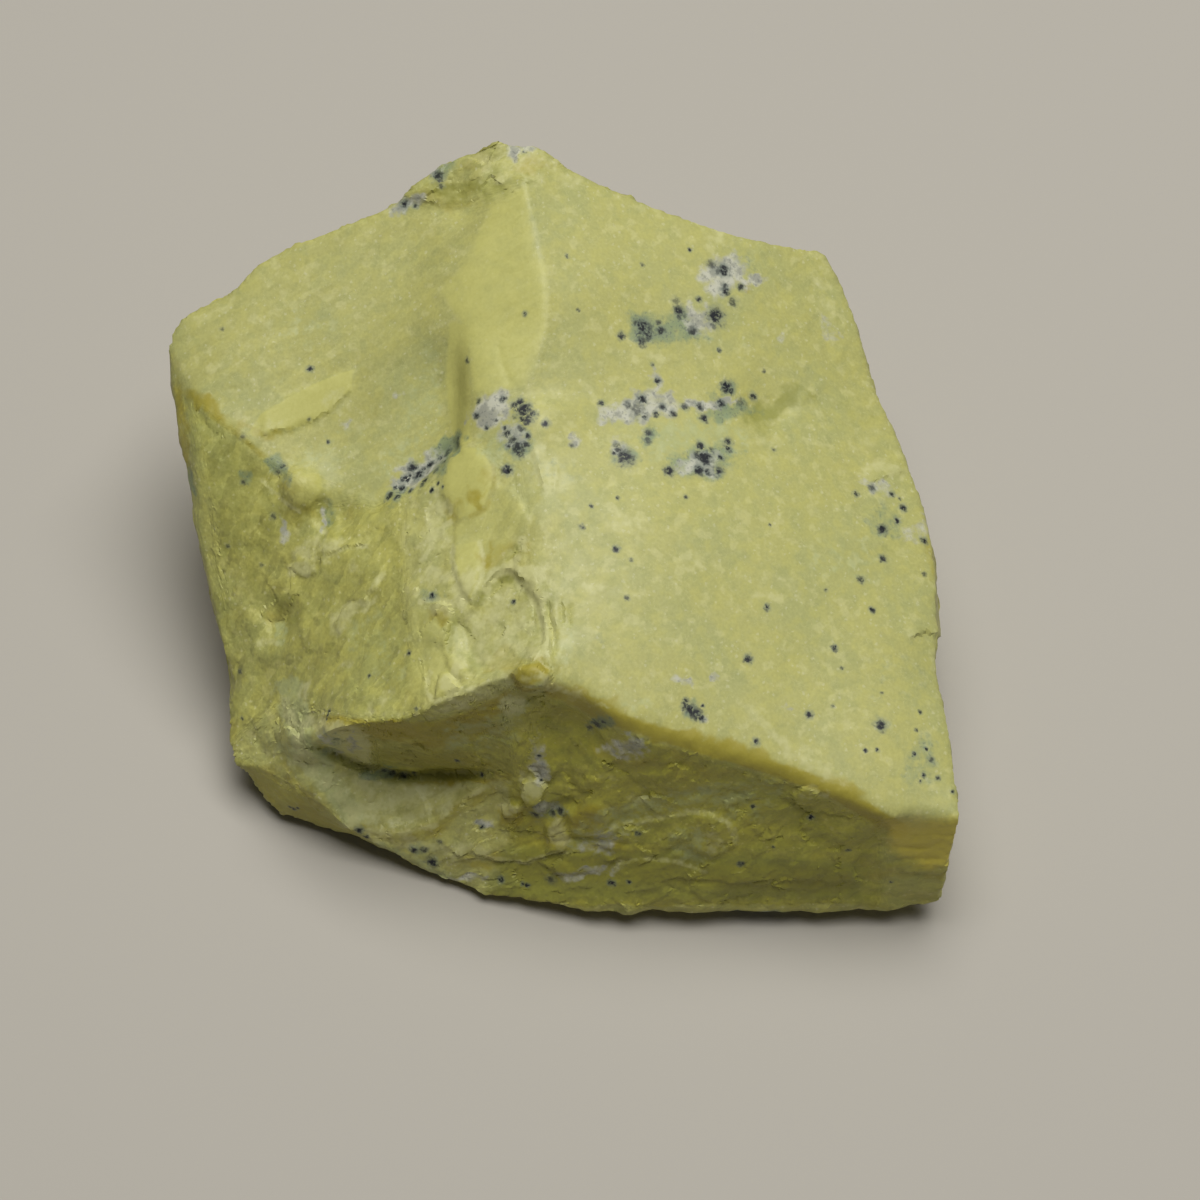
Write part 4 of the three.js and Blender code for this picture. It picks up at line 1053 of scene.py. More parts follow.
# %% Bands
# kind: (strength, half width in mm, line)
BANDS = {
    # ochre: painted glow along the front edge, the ledge's lip and the left rim, and painted shade
    # along the nugget and low on the front
    "ochre_glow_and_shade": [
        (1.2, 0.27, [
            (552, 690), (575, 698), (608, 717), (660, 734), (722, 752), (775, 769), (828, 787),
            (860, 807), (900, 830)]),
        (1.0, 0.32, [(330, 723), (372, 729), (400, 732), (440, 729), (480, 716), (507, 700)]),
        (0.6, 0.3, [(352, 826), (400, 838), (436, 830), (458, 806), (490, 792)]),
        (0.5, 0.12, [(187, 393), (215, 418), (243, 438), (262, 456)]),
        (0.4, 0.12, [(493, 466), (494, 486), (486, 508), (471, 517)]),
        (0.8, 0.3, [(963, 828), (963, 855), (955, 885)]),
        (1.0, 0.5, [(520, 868), (620, 868), (720, 876), (840, 880)])],
    # painted shade in the crack under the ledge, along the arch over the dark lens and beside the
    # channel
    "dark_green_and_shade": [
        (1.0, 0.2, [(305, 744), (335, 757), (366, 769), (396, 778), (443, 776), (490, 774)]),
        (0.6, 0.25, [(380, 764), (410, 768), (445, 768), (480, 766)]),
        (0.8, 0.14, [(480, 603), (492, 587), (505, 579), (516, 581), (526, 592), (536, 606)]),
        (0.7, 0.12, [(454, 608), (455, 622), (450, 636), (449, 652)]),
        (0.6, 0.12, [(486, 582), (502, 564), (520, 547)])],
    "mint": [
        (0.9, 0.5, [(292, 690), (296, 715), (303, 745), (320, 770), (337, 792), (352, 815)]),
        (0.6, 0.3, [(383, 847), (403, 860), (437, 873), (453, 885)]),
        (0.5, 0.4, [(590, 826), (640, 808), (690, 796), (740, 792), (775, 786)])],
    "cream": [
        (0.7, 0.22, [(284, 700), (303, 750), (320, 773), (337, 793), (355, 822)]),
        (0.42, 0.14, STEPS["shell on the front face"][-1]),
        (0.36, 0.1, STEPS["lower shell on the front face"][-1]),
        (0.4, 0.1, STEPS["low ledge"][-1]),
        (0.6, 0.1, [(345, 826), (372, 832), (399, 834), (434, 826), (454, 803), (488, 787)]),
        (0.8, 0.1, [(454, 545), (452, 560), (456, 578), (466, 596)]),
        (0.7, 0.1, [(480, 542), (484, 560), (480, 580), (472, 600)]),
        (0.6, 0.08, STEPS["upper edge of the left front plate"][-1]),
        (0.6, 0.08, [(262, 480), (282, 500), (300, 512)]),
        (1.0, 0.12, [(428, 510), (430, 524), (433, 536), (430, 548), (422, 560)]),
        (0.9, 0.1, [(430, 532), (440, 527), (451, 522)]),
        (0.85, 0.22, [
            (486, 588), (497, 573), (507, 567), (517, 571), (524, 581), (531, 592), (537, 604)]),
        (0.9, 0.12, [(537, 604), (541, 618), (546, 634), (549, 652)]),
        (0.8, 0.12, [(420, 602), (436, 599), (452, 603), (452, 616)]),
        (0.5, 0.2, CRACKS["faint crest"][-1]),
        (0.8, 0.2, [(512, 566), (522, 576), (531, 590), (540, 604)]),
        (0.6, 0.1, [(430, 672), (426, 690), (434, 702), (470, 690), (505, 676)])],
}
print("bands:", {kind: len(bands) for kind, bands in BANDS.items()})

# %% Strength of a colour at each point
HALF_EDGE = 0.5              # a patch fades from here inside its oval to as far outside


def patch_strength(x, y, ovals):
    """The strongest oval at each point: full inside, half at the oval's line, then nothing."""
    best = np.zeros(len(x))
    for across, down, length, width, turn, strength in ovals:
        c, s = np.cos(radians(turn)), np.sin(radians(turn))
        u, v = x - across, down - y
        reach = np.hypot((c * u + s * v) / length, (c * v - s * u) / width)
        best = np.maximum(best, strength * ramp((1 + HALF_EDGE - reach) / (2 * HALF_EDGE)))
    return best


def area_and_band_strength(x, y, scale, kind):
    """The strongest area or band of one kind at each point."""
    best = np.zeros(len(x))
    for strength, softness, outline in AREAS.get(kind, ()):
        best = np.maximum(best, strength * inside(x, y, scale, outline, softness))
    for strength, width, line in BANDS.get(kind, ()):
        best = np.maximum(best, strength * beside(x, y, scale, line, width))
    return best


trial = patch_strength(np.array([10.0]), np.array([0.0]), [(0, 0, 10, 5, 0, 1.0)])
print("strength at the line of a trial oval:", float(trial[0]))

# %% [markdown]
# ## Grains
#
# Black grains of magnetite sit along the veins and are strewn over the faces. They are flush with
# the stone, so they are colour and not form. Small balls would be heavy, and painted dots would
# blur. Instead each face of the mesh keeps the centre and the size of its nearest grain, and the
# material draws the round grain from them. The hidden side gets grains by chance, and a few small
# veins of its own.

# %% Places of the grains
# group: (across, down, radius in mm, depth of colour)
GRAINS = {
    "upper right vein": [
        (723, 271, .22, 1), (712, 265, .18, .6), (725, 291, .15, 1), (725, 286, .08, .8),
        (741, 287, .12, .9), (699, 299, .1, .9), (733, 302, .16, .6), (716, 316, .28, 1),
        (679, 311, .2, 1), (676, 301, .14, .5), (693, 331, .16, .8), (643, 327, .26, 1),
        (648, 334, .2, .9), (642, 341, .16, .9), (661, 331, .16, .9), (659, 323, .1, .8),
        (621, 336, .12, .9), (636, 322, .12, .7), (690, 250, .07, 1), (567, 256, .07, .8),
        (642, 265, .07, .6), (578, 310, .06, .6), (719, 350, .07, 1)],
    "middle vein": [
        (652, 365, .07, .9), (658, 381, .1, 1), (642, 399, .15, 1), (601, 403, .1, .9),
        (638, 410, .26, .5), (628, 405, .14, .5), (663, 407, .12, .9), (673, 414, .12, .9),
        (656, 414, .1, .9), (644, 417, .09, .8), (685, 407, .12, .9), (700, 406, .13, .9),
        (721, 404, .16, 1), (726, 387, .2, 1), (731, 391, .12, .9), (753, 397, .13, .9),
        (704, 418, .14, 1), (741, 403, .18, .5), (648, 433, .14, .8), (648, 440, .11, .7),
        (625, 457, .28, 1), (618, 450, .12, .8), (614, 453, .1, .9), (617, 446, .12, .6),
        (572, 446, .08, .6), (700, 446, .14, 1), (704, 458, .26, 1), (697, 455, .14, .8),
        (728, 442, .14, 1), (728, 448, .12, 1), (721, 458, .1, 1), (699, 470, .17, 1),
        (718, 471, .17, 1), (707, 472, .12, .9), (669, 471, .15, 1), (711, 450, .1, .7)],
    "crest vein": [
        (476, 415, .1, .9), (503, 399, .1, .9), (479, 401, .08, .9), (486, 428, .08, .9),
        (523, 410, .26, 1), (528, 419, .18, .9), (546, 424, .12, 1), (508, 433, .12, .9),
        (509, 446, .1, .9), (518, 449, .22, .9), (525, 445, .12, .9), (528, 436, .1, 1),
        (520, 402, .14, 1), (515, 405, .12, .9), (533, 414, .14, .9), (522, 419, .12, .9),
        (511, 441, .1, .9), (506, 434, .09, .8), (521, 455, .12, .7), (505, 428, .07, .8),
        (507, 470, .17, 1), (521, 429, .14, .7), (513, 440, .14, .8), (496, 420, .06, .6)],
    "groove vein": [
        (402, 489, .15, 1), (390, 495, .12, .9), (407, 479, .14, 1), (413, 467, .15, 1),
        (419, 475, .2, 1), (425, 480, .12, .9), (430, 465, .14, 1), (438, 483, .06, .9),
        (432, 490, .08, 1), (443, 487, .06, .9), (448, 452, .16, .6), (458, 441, .2, .7),
        (440, 458, .1, .7), (396, 488, .1, .9), (411, 490, .1, .8), (422, 484, .1, .8),
        (388, 498, .12, .9), (402, 480, .1, .8), (397, 497, .1, .9), (424, 469, .1, .8),
        (436, 470, .12, .6), (444, 462, .12, .6), (410, 476, .09, .9)],
    "lower vein": [
        (685, 705, .13, .9), (690, 710, .2, 1), (696, 713, .2, 1), (701, 718, .12, 1),
        (703, 706, .06, 1), (686, 701, .1, .9)],
    "upper faces": [
        (748, 659, .14, 1), (767, 607, .1, 1), (872, 610, .1, 1), (834, 648, .1, 1),
        (842, 668, .06, .6), (881, 725, .18, 1), (809, 715, .12, 1), (756, 742, .12, 1),
        (865, 750, .07, 1), (877, 750, .07, 1), (914, 754, .07, 1), (926, 749, .06, 1),
        (931, 760, .11, .7), (923, 775, .08, 1), (920, 781, .06, .8), (938, 778, .08, .9),
        (953, 792, .07, 1), (960, 787, .08, 1), (920, 712, .07, .8), (916, 730, .06, .8),
        (882, 693, .06, .6), (833, 706, .06, .6), (883, 559, .12, .9), (861, 580, .12, .8),
        (826, 590, .06, .6), (924, 574, .08, .6), (627, 598, .08, .7), (631, 560, .07, .6),
        (764, 371, .06, .6), (774, 450, .07, .6), (770, 525, .06, .8), (872, 488, .14, .7),
        (856, 494, .1, .9), (892, 494, .1, .9), (900, 499, .06, .7), (903, 508, .13, 1),
        (897, 521, .11, 1), (883, 529, .17, 1), (924, 541, .12, 1), (616, 549, .1, 1),
        (582, 527, .09, .7), (591, 506, .07, .8), (618, 498, .07, .8), (686, 497, .07, .8),
        (856, 493, .07, .7), (513, 602, .08, 1), (432, 596, .1, 1), (409, 653, .08, .9),
        (416, 709, .07, .8), (369, 676, .06, .8), (310, 369, .1, 1), (328, 442, .07, .9),
        (309, 419, .06, .6), (243, 437, .09, .5), (243, 482, .08, .6), (228, 546, .08, .6),
        (273, 516, .1, .6), (240, 671, .08, .8), (261, 565, .07, .5), (222, 329, .07, .5),
        (525, 314, .08, .9), (467, 360, .09, .7), (283, 466, .12, .7), (278, 472, .1, .6),
        (329, 711, .06, .9), (328, 715, .06, .9), (327, 719, .05, .9)],
    "back knob": [
        (438, 176, .2, .9), (414, 178, .12, .8), (430, 170, .12, .7), (404, 204, .15, 1),
        (415, 206, .08, .8), (528, 145, .12, 1), (441, 186, .1, .6), (524, 152, .06, .7)],
    "front faces": [
        (597, 724, .16, .8), (590, 727, .12, .7), (604, 722, .1, .7), (539, 756, .07, .9),
        (535, 814, .13, .8), (561, 811, .14, .9), (553, 813, .1, .7), (638, 834, .09, .9),
        (811, 817, .1, 1), (753, 806, .08, .8), (741, 864, .1, 1), (612, 883, .12, 1),
        (629, 882, .08, 1), (848, 850, .07, .8), (891, 882, .06, .8), (541, 780, .05, 1),
        (551, 880, .15, .6), (527, 885, .08, 1), (457, 760, .09, 1), (482, 774, .08, .9),
        (359, 831, .14, 1), (366, 837, .1, .9), (389, 853, .1, .9), (393, 856, .08, .9),
        (414, 850, .14, 1), (424, 850, .12, .8), (432, 862, .17, 1), (440, 842, .1, .5),
        (482, 827, .09, 1), (501, 880, .12, 1), (523, 884, .08, .9), (294, 809, .08, .9),
        (290, 807, .06, .8), (298, 808, .06, .8), (242, 718, .06, .7), (393, 772, .14, .7),
        (404, 775, .14, .7), (384, 770, .1, .5), (414, 773, .08, .6), (773, 847, .06, .7)],
}
print("placed grains:", sum(len(group) for group in GRAINS.values()))

# %% Grains by chance
HIDDEN_GRAINS = 150          # single grains on what the camera does not see
HIDDEN_VEINS = 9             # and small veins there, with grains close together
VEIN_GRAINS = 12
VEIN_SPREAD = 0.55 * MM
NEAR_SEEN = 0.33 * MM        # a hidden grain keeps at least this far from what is seen
# smallest radius and how much larger it can be, in mm; a power that makes large grains rare where
# it is over 1; least depth of colour and how much more it can be
SINGLE_GRAIN = (0.06, 0.1, 2, 0.7, 0.3)
VEIN_GRAIN = (0.08, 0.16, 1, 0.6, 0.4)
chance = np.random.default_rng(11)


def random_places(count):
    """Points spread evenly over the unseen part of the surface."""
    corner = points[triangles]
    area = np.linalg.norm(np.cross(corner[:, 1] - corner[:, 0], corner[:, 2] - corner[:, 0]), axis=1)
    area = area * ~seen[triangles].any(axis=1)
    picked = chance.choice(len(triangles), count, p=area / area.sum())
    return corner[picked].mean(axis=1)


def in_view(spot):
    """True where the camera sees the surface close to a spot."""
    return seen[np.linalg.norm(points - np.array(spot), axis=1) < NEAR_SEEN].any()


def chance_grain(spot, least, more, power, least_depth, more_depth):
    """A grain of random size and depth at a spot."""
    radius = least + more * chance.random() ** power
    return (*spot, radius * MM, least_depth + more_depth * chance.random())


def spread_grains():
    """Centre, radius and depth of colour of every grain, and the middles of hidden veins."""
    grains = []
    for group in GRAINS.values():
        for across, down, radius, depth in group:
            spot = landing(across, down)
            if spot is not None:
                grains.append((*spot, radius * MM, depth))
    for spot in random_places(HIDDEN_GRAINS):
        if not in_view(spot):
            grains.append(chance_grain(spot, *SINGLE_GRAIN))
    veins = random_places(HIDDEN_VEINS)
    for vein in veins:
        for _ in range(VEIN_GRAINS):
            spot = tree.find_nearest(Vector(vein + chance.normal(0, VEIN_SPREAD, 3)))[0]
            if not in_view(spot):
                grains.append(chance_grain(spot, *VEIN_GRAIN))
    return np.array(grains), veins


grains, veins = spread_grains()
print("grains:", len(grains))

# %% [markdown]
# ## Colours and grains kept on the mesh
#
# The tables are worked out once for each point, and the mesh keeps the strengths as attributes.
# The material reads them there, so nothing slides when the stone is turned. A shader could work
# out ovals and lines by itself, but with over three hundred of them it would be very slow.

# %% Colour attributes
RAGGED = [(1.1, 9, 21), (0.4, 7, 31)]   # bends of a patch's border: size in mm, reach, seed
HIDDEN_REACH = {"white": 0.8, "teal": 1.4}   # how far a hidden vein's colours reach, in mm
VEIN_FADE = 1.4              # they are gone at this many times their reach


def near_veins(points, reach):
    """How close each point is to a hidden vein."""
    gap = np.min([np.linalg.norm(points - vein, axis=1) for vein in veins], axis=0)
    return ramp(VEIN_FADE - gap / (reach * MM))


x, y, scale = in_frame(points)
lined = {kind: area_and_band_strength(x, y, scale, kind) for kind in TINTS}
for size, reach, seed in RAGGED:
    x = x + reach * wandering(points, size, seed)
    y = y + reach * wandering(points, size, seed + 2)
for kind in TINTS:
    strength = np.maximum(patch_strength(x, y, PATCHES.get(kind, ())), lined[kind])
    hidden = near_veins(points, HIDDEN_REACH[kind]) if kind in HIDDEN_REACH else 0.0
    keep(kind, np.where(seen, strength, hidden))
    print(kind, "covers", round(100 * float((strength[seen] > 0.5).mean()), 1), "% of what is seen")

# %% Grain attributes
GRAIN_REACH = 3.0            # faces farther from a grain than this many radii keep no grain

middles = points[triangles].mean(axis=1)
closest = np.full(len(middles), GRAIN_REACH)
grain_of = np.full(len(middles), -1)
for number, grain in enumerate(grains):
    gap = np.linalg.norm(middles - grain[:3], axis=1) / grain[3]
    nearer = gap < closest
    closest[nearer] = gap[nearer]
    grain_of[nearer] = number
table = np.vstack([grains, np.zeros(5)])[grain_of]   # the last row, number -1, is no grain
keep("grain centre", table[:, :3], "FLOAT_VECTOR", "FACE")
keep("grain radius", table[:, 3], domain="FACE")
keep("grain depth", table[:, 4], domain="FACE")
print("faces with a grain:", int((grain_of >= 0).sum()))

# %% [markdown]
# ## The finish
#
# Serpentine is waxy, with a soft sheen. Close up it is a felt of tiny flat crystals, each turned
# its own way, with pale dust and flecks between them. Four noises and two cell patterns give all
# of it. Each of them is worked out once and used by many layers, which keeps the picture quick to
# render. What is used more than once, or is a thing of its own, is a node group with named inputs.

# %% Helpers for the finish
def group(name, inputs, outputs):
    """An empty shader node group; gives the tree and its inputs."""
    tree = bpy.data.node_groups.new(name, "ShaderNodeTree")
    for title, (sort, value) in inputs.items():
        socket(tree, title, sort, value)
    for title, sort in outputs.items():
        socket(tree, title, sort, way="OUTPUT")
    return tree, node(tree, "NodeGroupInput").outputs


def put_out(tree, **values):
    """Links values to a group's outputs of the same names."""
    end = node(tree, "NodeGroupOutput")
    for name, value in values.items():
        tree.links.new(value, end.inputs[name])


def three_noises(tree, place, size, detail, output="Color"):
    """Three soft random values from 0 to 1, or with output Fac one, of a size in place's units."""
    spot = vector(tree, "DIVIDE", place, (size,) * 3)[0]
    made = node(tree, "ShaderNodeTexNoise", {"Vector": spot, "Detail": detail, "Scale": 1.0})
    return made.outputs[output]


def soft_step(tree, value, start, end):
    """0 at start, 1 at end, and a soft curve between."""
    return node(tree, "ShaderNodeMapRange", {"Value": value, 1: start, 2: end},
                interpolation_type="SMOOTHSTEP").outputs[0]


def blend(tree, share, under, over):
    """Mixes two colours."""
    return node(tree, "ShaderNodeMix", {0: share, 6: under, 7: over}, data_type="RGBA").outputs[2]


def product(tree, *values):
    """The product of several values."""
    result = values[0]
    for value in values[1:]:
        result = sum_up(tree, "MULTIPLY", result, value)
    return result


print("attributes for the finish:", [layer.name for layer in mesh.attributes if layer.name in TINTS])

# %% [markdown]
# ## Crystal felt and pale dust
#
# The felt is a pattern of cells, squeezed along the streaks so that each crystal is long. It puts
# out a random direction for each crystal and a mask of the rims between them. The dust is a
# second, round pattern of cells, where only a share of the cells holds a pale grain. An image of
# real rock would give both at once, but only for one piece of surface and up to one size.

# %% Crystal felt
RIM_FROM, RIM_TO = 0.4, 0.75   # the rim of a crystal, in widths from its middle

felt, given = group("crystal felt", {
    "Place": ("Vector", None), "Way": ("Vector", (1, 0, 0)), "Width": ("Float", 0.3),
    "Squeeze": ("Float", 0.7)}, {"Luck": "Vector", "Rim": "Float"})
run = product(felt, vector(felt, "DOT_PRODUCT", given["Place"], given["Way"])[1], given["Squeeze"])
pulled = vector(felt, "SUBTRACT", given["Place"], vector(felt, "SCALE", given["Way"], scale=run)[0])[0]
small = sum_up(felt, "DIVIDE", 1.0, given["Width"])
cell = node(felt, "ShaderNodeTexVoronoi", {
    "Vector": vector(felt, "SCALE", pulled, scale=small)[0], "Scale": 1.0}).outputs
put_out(felt, Luck=vector(felt, "SUBTRACT", cell["Color"], HALF_EACH)[0],
        Rim=soft_step(felt, cell["Distance"], RIM_FROM, RIM_TO))
print(felt.name, len(felt.nodes), "nodes")

# %% Pale dust
DUST_CORE = 0.4              # a dust grain is full up to this share of its radius

pale_dust, given = group("pale dust", {
    "Place": ("Vector", None), "Spacing": ("Float", 0.2), "Size": ("Float", 0.25),
    "Share": ("Float", 0.3)}, {"Mask": "Float"})
small = sum_up(pale_dust, "DIVIDE", 1.0, given["Spacing"])
cell = node(pale_dust, "ShaderNodeTexVoronoi", {
    "Vector": vector(pale_dust, "SCALE", given["Place"], scale=small)[0], "Scale": 1.0}).outputs
luck = node(pale_dust, "ShaderNodeSeparateColor", {0: cell["Color"]}).outputs
radius = product(pale_dust, given["Size"], sum_up(pale_dust, "ADD", luck[1], 0.5))
put_out(pale_dust, Mask=product(
    pale_dust,
    soft_step(pale_dust, cell["Distance"], radius, product(pale_dust, radius, DUST_CORE)),
    sum_up(pale_dust, "LESS_THAN", luck[0], given["Share"])))
print(pale_dust.name, len(pale_dust.nodes), "nodes")

# %% [markdown]
# ## Broken patches and dark grains
#
# A patch of mineral has no clean border. Mixing it in by its strength alone would leave a soft
# airbrushed spot. So the strength is raised and lowered by two noises before a soft step cuts it
# off: islands and bays form at the border, and the inside stays whole. A dark grain is a round mask
# about a centre that the mesh keeps; a larger and softer one gives the haze about the grain.

# %% Broken patch
BARE, COVERED = 0.02, 0.2    # below the first strength there is never a patch

broken_patch, given = group("broken patch", {
    "Strength": ("Float", 0.0), "Soft Noise": ("Float", 0.5), "Middle Noise": ("Float", 0.5),
    "Soft Break": ("Float", 1.0), "Middle Break": ("Float", 0.5),
    "Softness": ("Float", 0.15)}, {"Mask": "Float"})
ragged = given["Strength"]
for source, amount in (("Soft Noise", "Soft Break"), ("Middle Noise", "Middle Break")):
    shift = sum_up(broken_patch, "SUBTRACT", given[source], 0.5)
    ragged = sum_up(broken_patch, "ADD", ragged, product(broken_patch, shift, given[amount], 2.0))
lower = sum_up(broken_patch, "SUBTRACT", 0.5, given["Softness"])
upper = sum_up(broken_patch, "ADD", 0.5, given["Softness"])
put_out(broken_patch, Mask=product(
    broken_patch, soft_step(broken_patch, ragged, lower, upper),
    soft_step(broken_patch, given["Strength"], BARE, COVERED)))
print(broken_patch.name, len(broken_patch.nodes), "nodes")

# %% Dark grain
NO_GRAIN = 1e-6              # a radius of less than this, in metres, means that there is no grain

dark_grain, given = group("dark grain", {
    "Place": ("Vector", None), "Centre": ("Vector", None), "Radius": ("Float", 0.1 * MM),
    "Outer": ("Float", 1.1), "Inner": ("Float", 0.7)}, {"Mask": "Float"})
gap = vector(dark_grain, "DISTANCE", given["Place"], given["Centre"])[1]
share = sum_up(dark_grain, "DIVIDE", gap, sum_up(dark_grain, "MAXIMUM", given["Radius"], NO_GRAIN))
put_out(dark_grain, Mask=product(
    dark_grain, soft_step(dark_grain, share, given["Outer"], given["Inner"]),
    sum_up(dark_grain, "GREATER_THAN", given["Radius"], NO_GRAIN)))
print(dark_grain.name, len(dark_grain.nodes), "nodes")

# %% [markdown]
# ## The serpentine's material
#
# One noise through a colour ramp would be the short way, and it looks like marbled soap. Here the
# colour is built up as a painter would do it: a main yellow-green, broad and small clouds over it,
# pale dust, a painted shade on the front faces, then the patches, the veins and last the grains. All
# of it reads Object coordinates or attributes of the mesh, so it stays on the stone in every view.

# %% Inputs of the material
material.use_nodes = True
shader = material.node_tree
principled = shader.nodes["Principled BSDF"]
object_place = node(shader, "ShaderNodeTexCoord").outputs["Object"]
place = vector(shader, "SCALE", object_place, scale=1 / MM)[0]


def stored(name, output="Fac"):
    """A value that the mesh keeps, for the shader."""
    return node(shader, "ShaderNodeAttribute", attribute_name=name).outputs[output]


def filled(tree, inputs):
    """A node group in the material; gives its outputs."""
    return node(shader, "ShaderNodeGroup", inputs, node_tree=tree).outputs


def thirds(value):
    """The three values of a colour or a vector."""
    return node(shader, "ShaderNodeSeparateXYZ", {0: value}).outputs


# olive: how much painted shade darkens a front face
splinters, olive = stored("splinters"), stored("olive")
streaks = stored("streak way", "Vector")
print("node groups:", [tree.name for tree in (felt, pale_dust, broken_patch, dark_grain)])

# %% Noises, felt and dust on the stone
# size in mm and detail of each noise
BROAD, SOFT, MIDDLE, FINE = (2.8, 1.0), (0.55, 3.0), (0.24, 2.0), (0.12, 1.0)
FELT_WARP = 0.5              # how far the soft noise shifts the felt, in mm
DUST_WARP = 0.16             # how far the fine noise shifts the dust, in mm

broad = three_noises(shader, place, *BROAD, output="Fac")
soft = three_noises(shader, place, *SOFT)
middle = three_noises(shader, place, *MIDDLE)
fine = three_noises(shader, place, *FINE)
soft_a, soft_b, soft_c = thirds(soft)
middle_a, middle_b, _ = thirds(middle)
_, fine_b, fine_c = thirds(fine)
warp = vector(shader, "SCALE", soft, scale=FELT_WARP)[0]
crystals = filled(felt, {
    "Place": vector(shader, "ADD", place, warp)[0], "Way": streaks, "Width": 0.28, "Squeeze": 0.8})
luck = thirds(crystals["Luck"])[0]
warp = vector(shader, "SCALE", fine, scale=DUST_WARP)[0]
dust = filled(pale_dust, {
    "Place": vector(shader, "ADD", place, warp)[0], "Spacing": 0.2, "Size": 0.34,
    "Share": 0.24})["Mask"]
print("nodes so far:", len(shader.nodes))

# %% Colours of the serpentine
MAIN, GREY = (0.452, 0.44, 0.147, 1), (0.395, 0.405, 0.155, 1)
YELLOW, CREAM = (0.51, 0.485, 0.14, 1), (0.58, 0.56, 0.24, 1)
DEEP_GREEN, PALE_DUST = (0.33, 0.35, 0.13, 1), (0.66, 0.645, 0.40, 1)
FRONT_SHADE = (0.88, 0.85, 0.41, 1)     # painted shade of the front faces, darker and more yellow, as a share of the main one
BLUE_BLACK, HAZE = (0.013, 0.015, 0.017, 1), (0.16, 0.20, 0.165, 1)
GREY_BLUE, SPECK = (0.27, 0.275, 0.215, 1), (0.09, 0.10, 0.10, 1)
# clouds of a second colour: noise, the values where they start and are full, share, colour
CLOUDS = [
    (broad, 0.42, 0.66, 0.65, GREY),
    (soft_a, 0.42, 0.66, 0.45, YELLOW),
    (soft_c, 0.48, 0.68, 0.32, DEEP_GREEN),
    (soft_b, 0.54, 0.67, 0.45, CREAM),
]

colour = MAIN
for cloud, start, full, share, tint in CLOUDS:
    colour = blend(shader, product(shader, soft_step(shader, cloud, start, full), share), colour, tint)
print("clouds:", len(CLOUDS))

# %% Pale threads and dust
THREAD_AT, THREAD_WIDTH, THREAD_SHARE = 0.47, 0.014, 0.3   # where the soft noise has this value
THREAD_BREAK = (0.42, 0.5)   # and where another one is above this
DUST_LEAST, DUST_MORE = 0.26, 0.35   # the dust's strength, and what splinters add to it

thread = sum_up(shader, "ABSOLUTE", sum_up(shader, "SUBTRACT", soft_a, THREAD_AT))
thread = product(shader, soft_step(shader, thread, THREAD_WIDTH, 0.0),
                 soft_step(shader, soft_c, *THREAD_BREAK), THREAD_SHARE)
colour = blend(shader, thread, colour, CREAM)
dust_share = sum_up(shader, "ADD", DUST_LEAST, product(shader, splinters, DUST_MORE))
colour = blend(shader, product(shader, dust, dust_share), colour, PALE_DUST)
print("nodes with threads and dust:", len(shader.nodes))

# %% Painted shade of the front faces, and tone of the crystals
CRYSTAL_TONE, RIM_TONE, FINE_TONE = 0.24, 0.12, 0.2   # how much each changes the brightness

# Painted shade: where the olive strength is high, the front faces are darker and more yellow.
painted_front_shade = blend(shader, olive, (1, 1, 1, 1), FRONT_SHADE)
colour = vector(shader, "MULTIPLY", colour, painted_front_shade)[0]
tone = sum_up(shader, "ADD", 1.0, product(shader, luck, splinters, CRYSTAL_TONE))
tone = sum_up(shader, "ADD", tone, product(shader, crystals["Rim"], splinters, RIM_TONE))
tone = sum_up(shader, "ADD", tone, product(
    shader, sum_up(shader, "SUBTRACT", fine_c, 0.5), FINE_TONE))
colour = vector(shader, "SCALE", colour, scale=tone)[0]
print("nodes with the tone:", len(shader.nodes))

# %% Patches and veins
CLOUDED, CLOUDED_SHARE = (0.44, 0.58), 0.75   # where white veins turn grey-blue, and how much
SPECKED, SPECK_SHARE = (0.54, 0.68), 0.45     # where veins carry dark specks, and how dark
WHITE_SPECKS = 0.8           # specks in white veins, against those in blue-green stain

masks = {}
for kind, (tint, soft_break, middle_break, softness, share) in TINTS.items():
    masks[kind] = filled(broken_patch, {
        "Strength": stored(kind), "Soft Noise": soft_b, "Middle Noise": middle_a,
        "Soft Break": soft_break, "Middle Break": middle_break, "Softness": softness})["Mask"]
    colour = blend(shader, product(shader, masks[kind], share), colour, tint)
clouded = product(shader, soft_step(shader, soft_a, *CLOUDED), masks["white"], CLOUDED_SHARE)
colour = blend(shader, clouded, colour, GREY_BLUE)
vein = sum_up(shader, "MAXIMUM", masks["teal"], product(shader, masks["white"], WHITE_SPECKS))
specks = product(shader, soft_step(shader, fine_b, *SPECKED), vein, SPECK_SHARE)
colour = blend(shader, specks, colour, SPECK)
print("kinds of patch:", len(masks))

# %% Grains on the stone
SHAKE = 0.09 * MM            # how ragged every grain is
SHAKE_MORE = 1.8             # how ragged it is against its own radius
HAZE_SHARE, CRUMB_SHARE, GLINT_SHARE = 0.65, 0.5, 0.6
CRUMBLED, CRUMB_REACH = (0.5, 0.62), (0.2, 0.7)   # where the haze breaks into crumbs
GLINTING = (0.52, 0.66)      # painted glints: where the black lets the rock's colour through

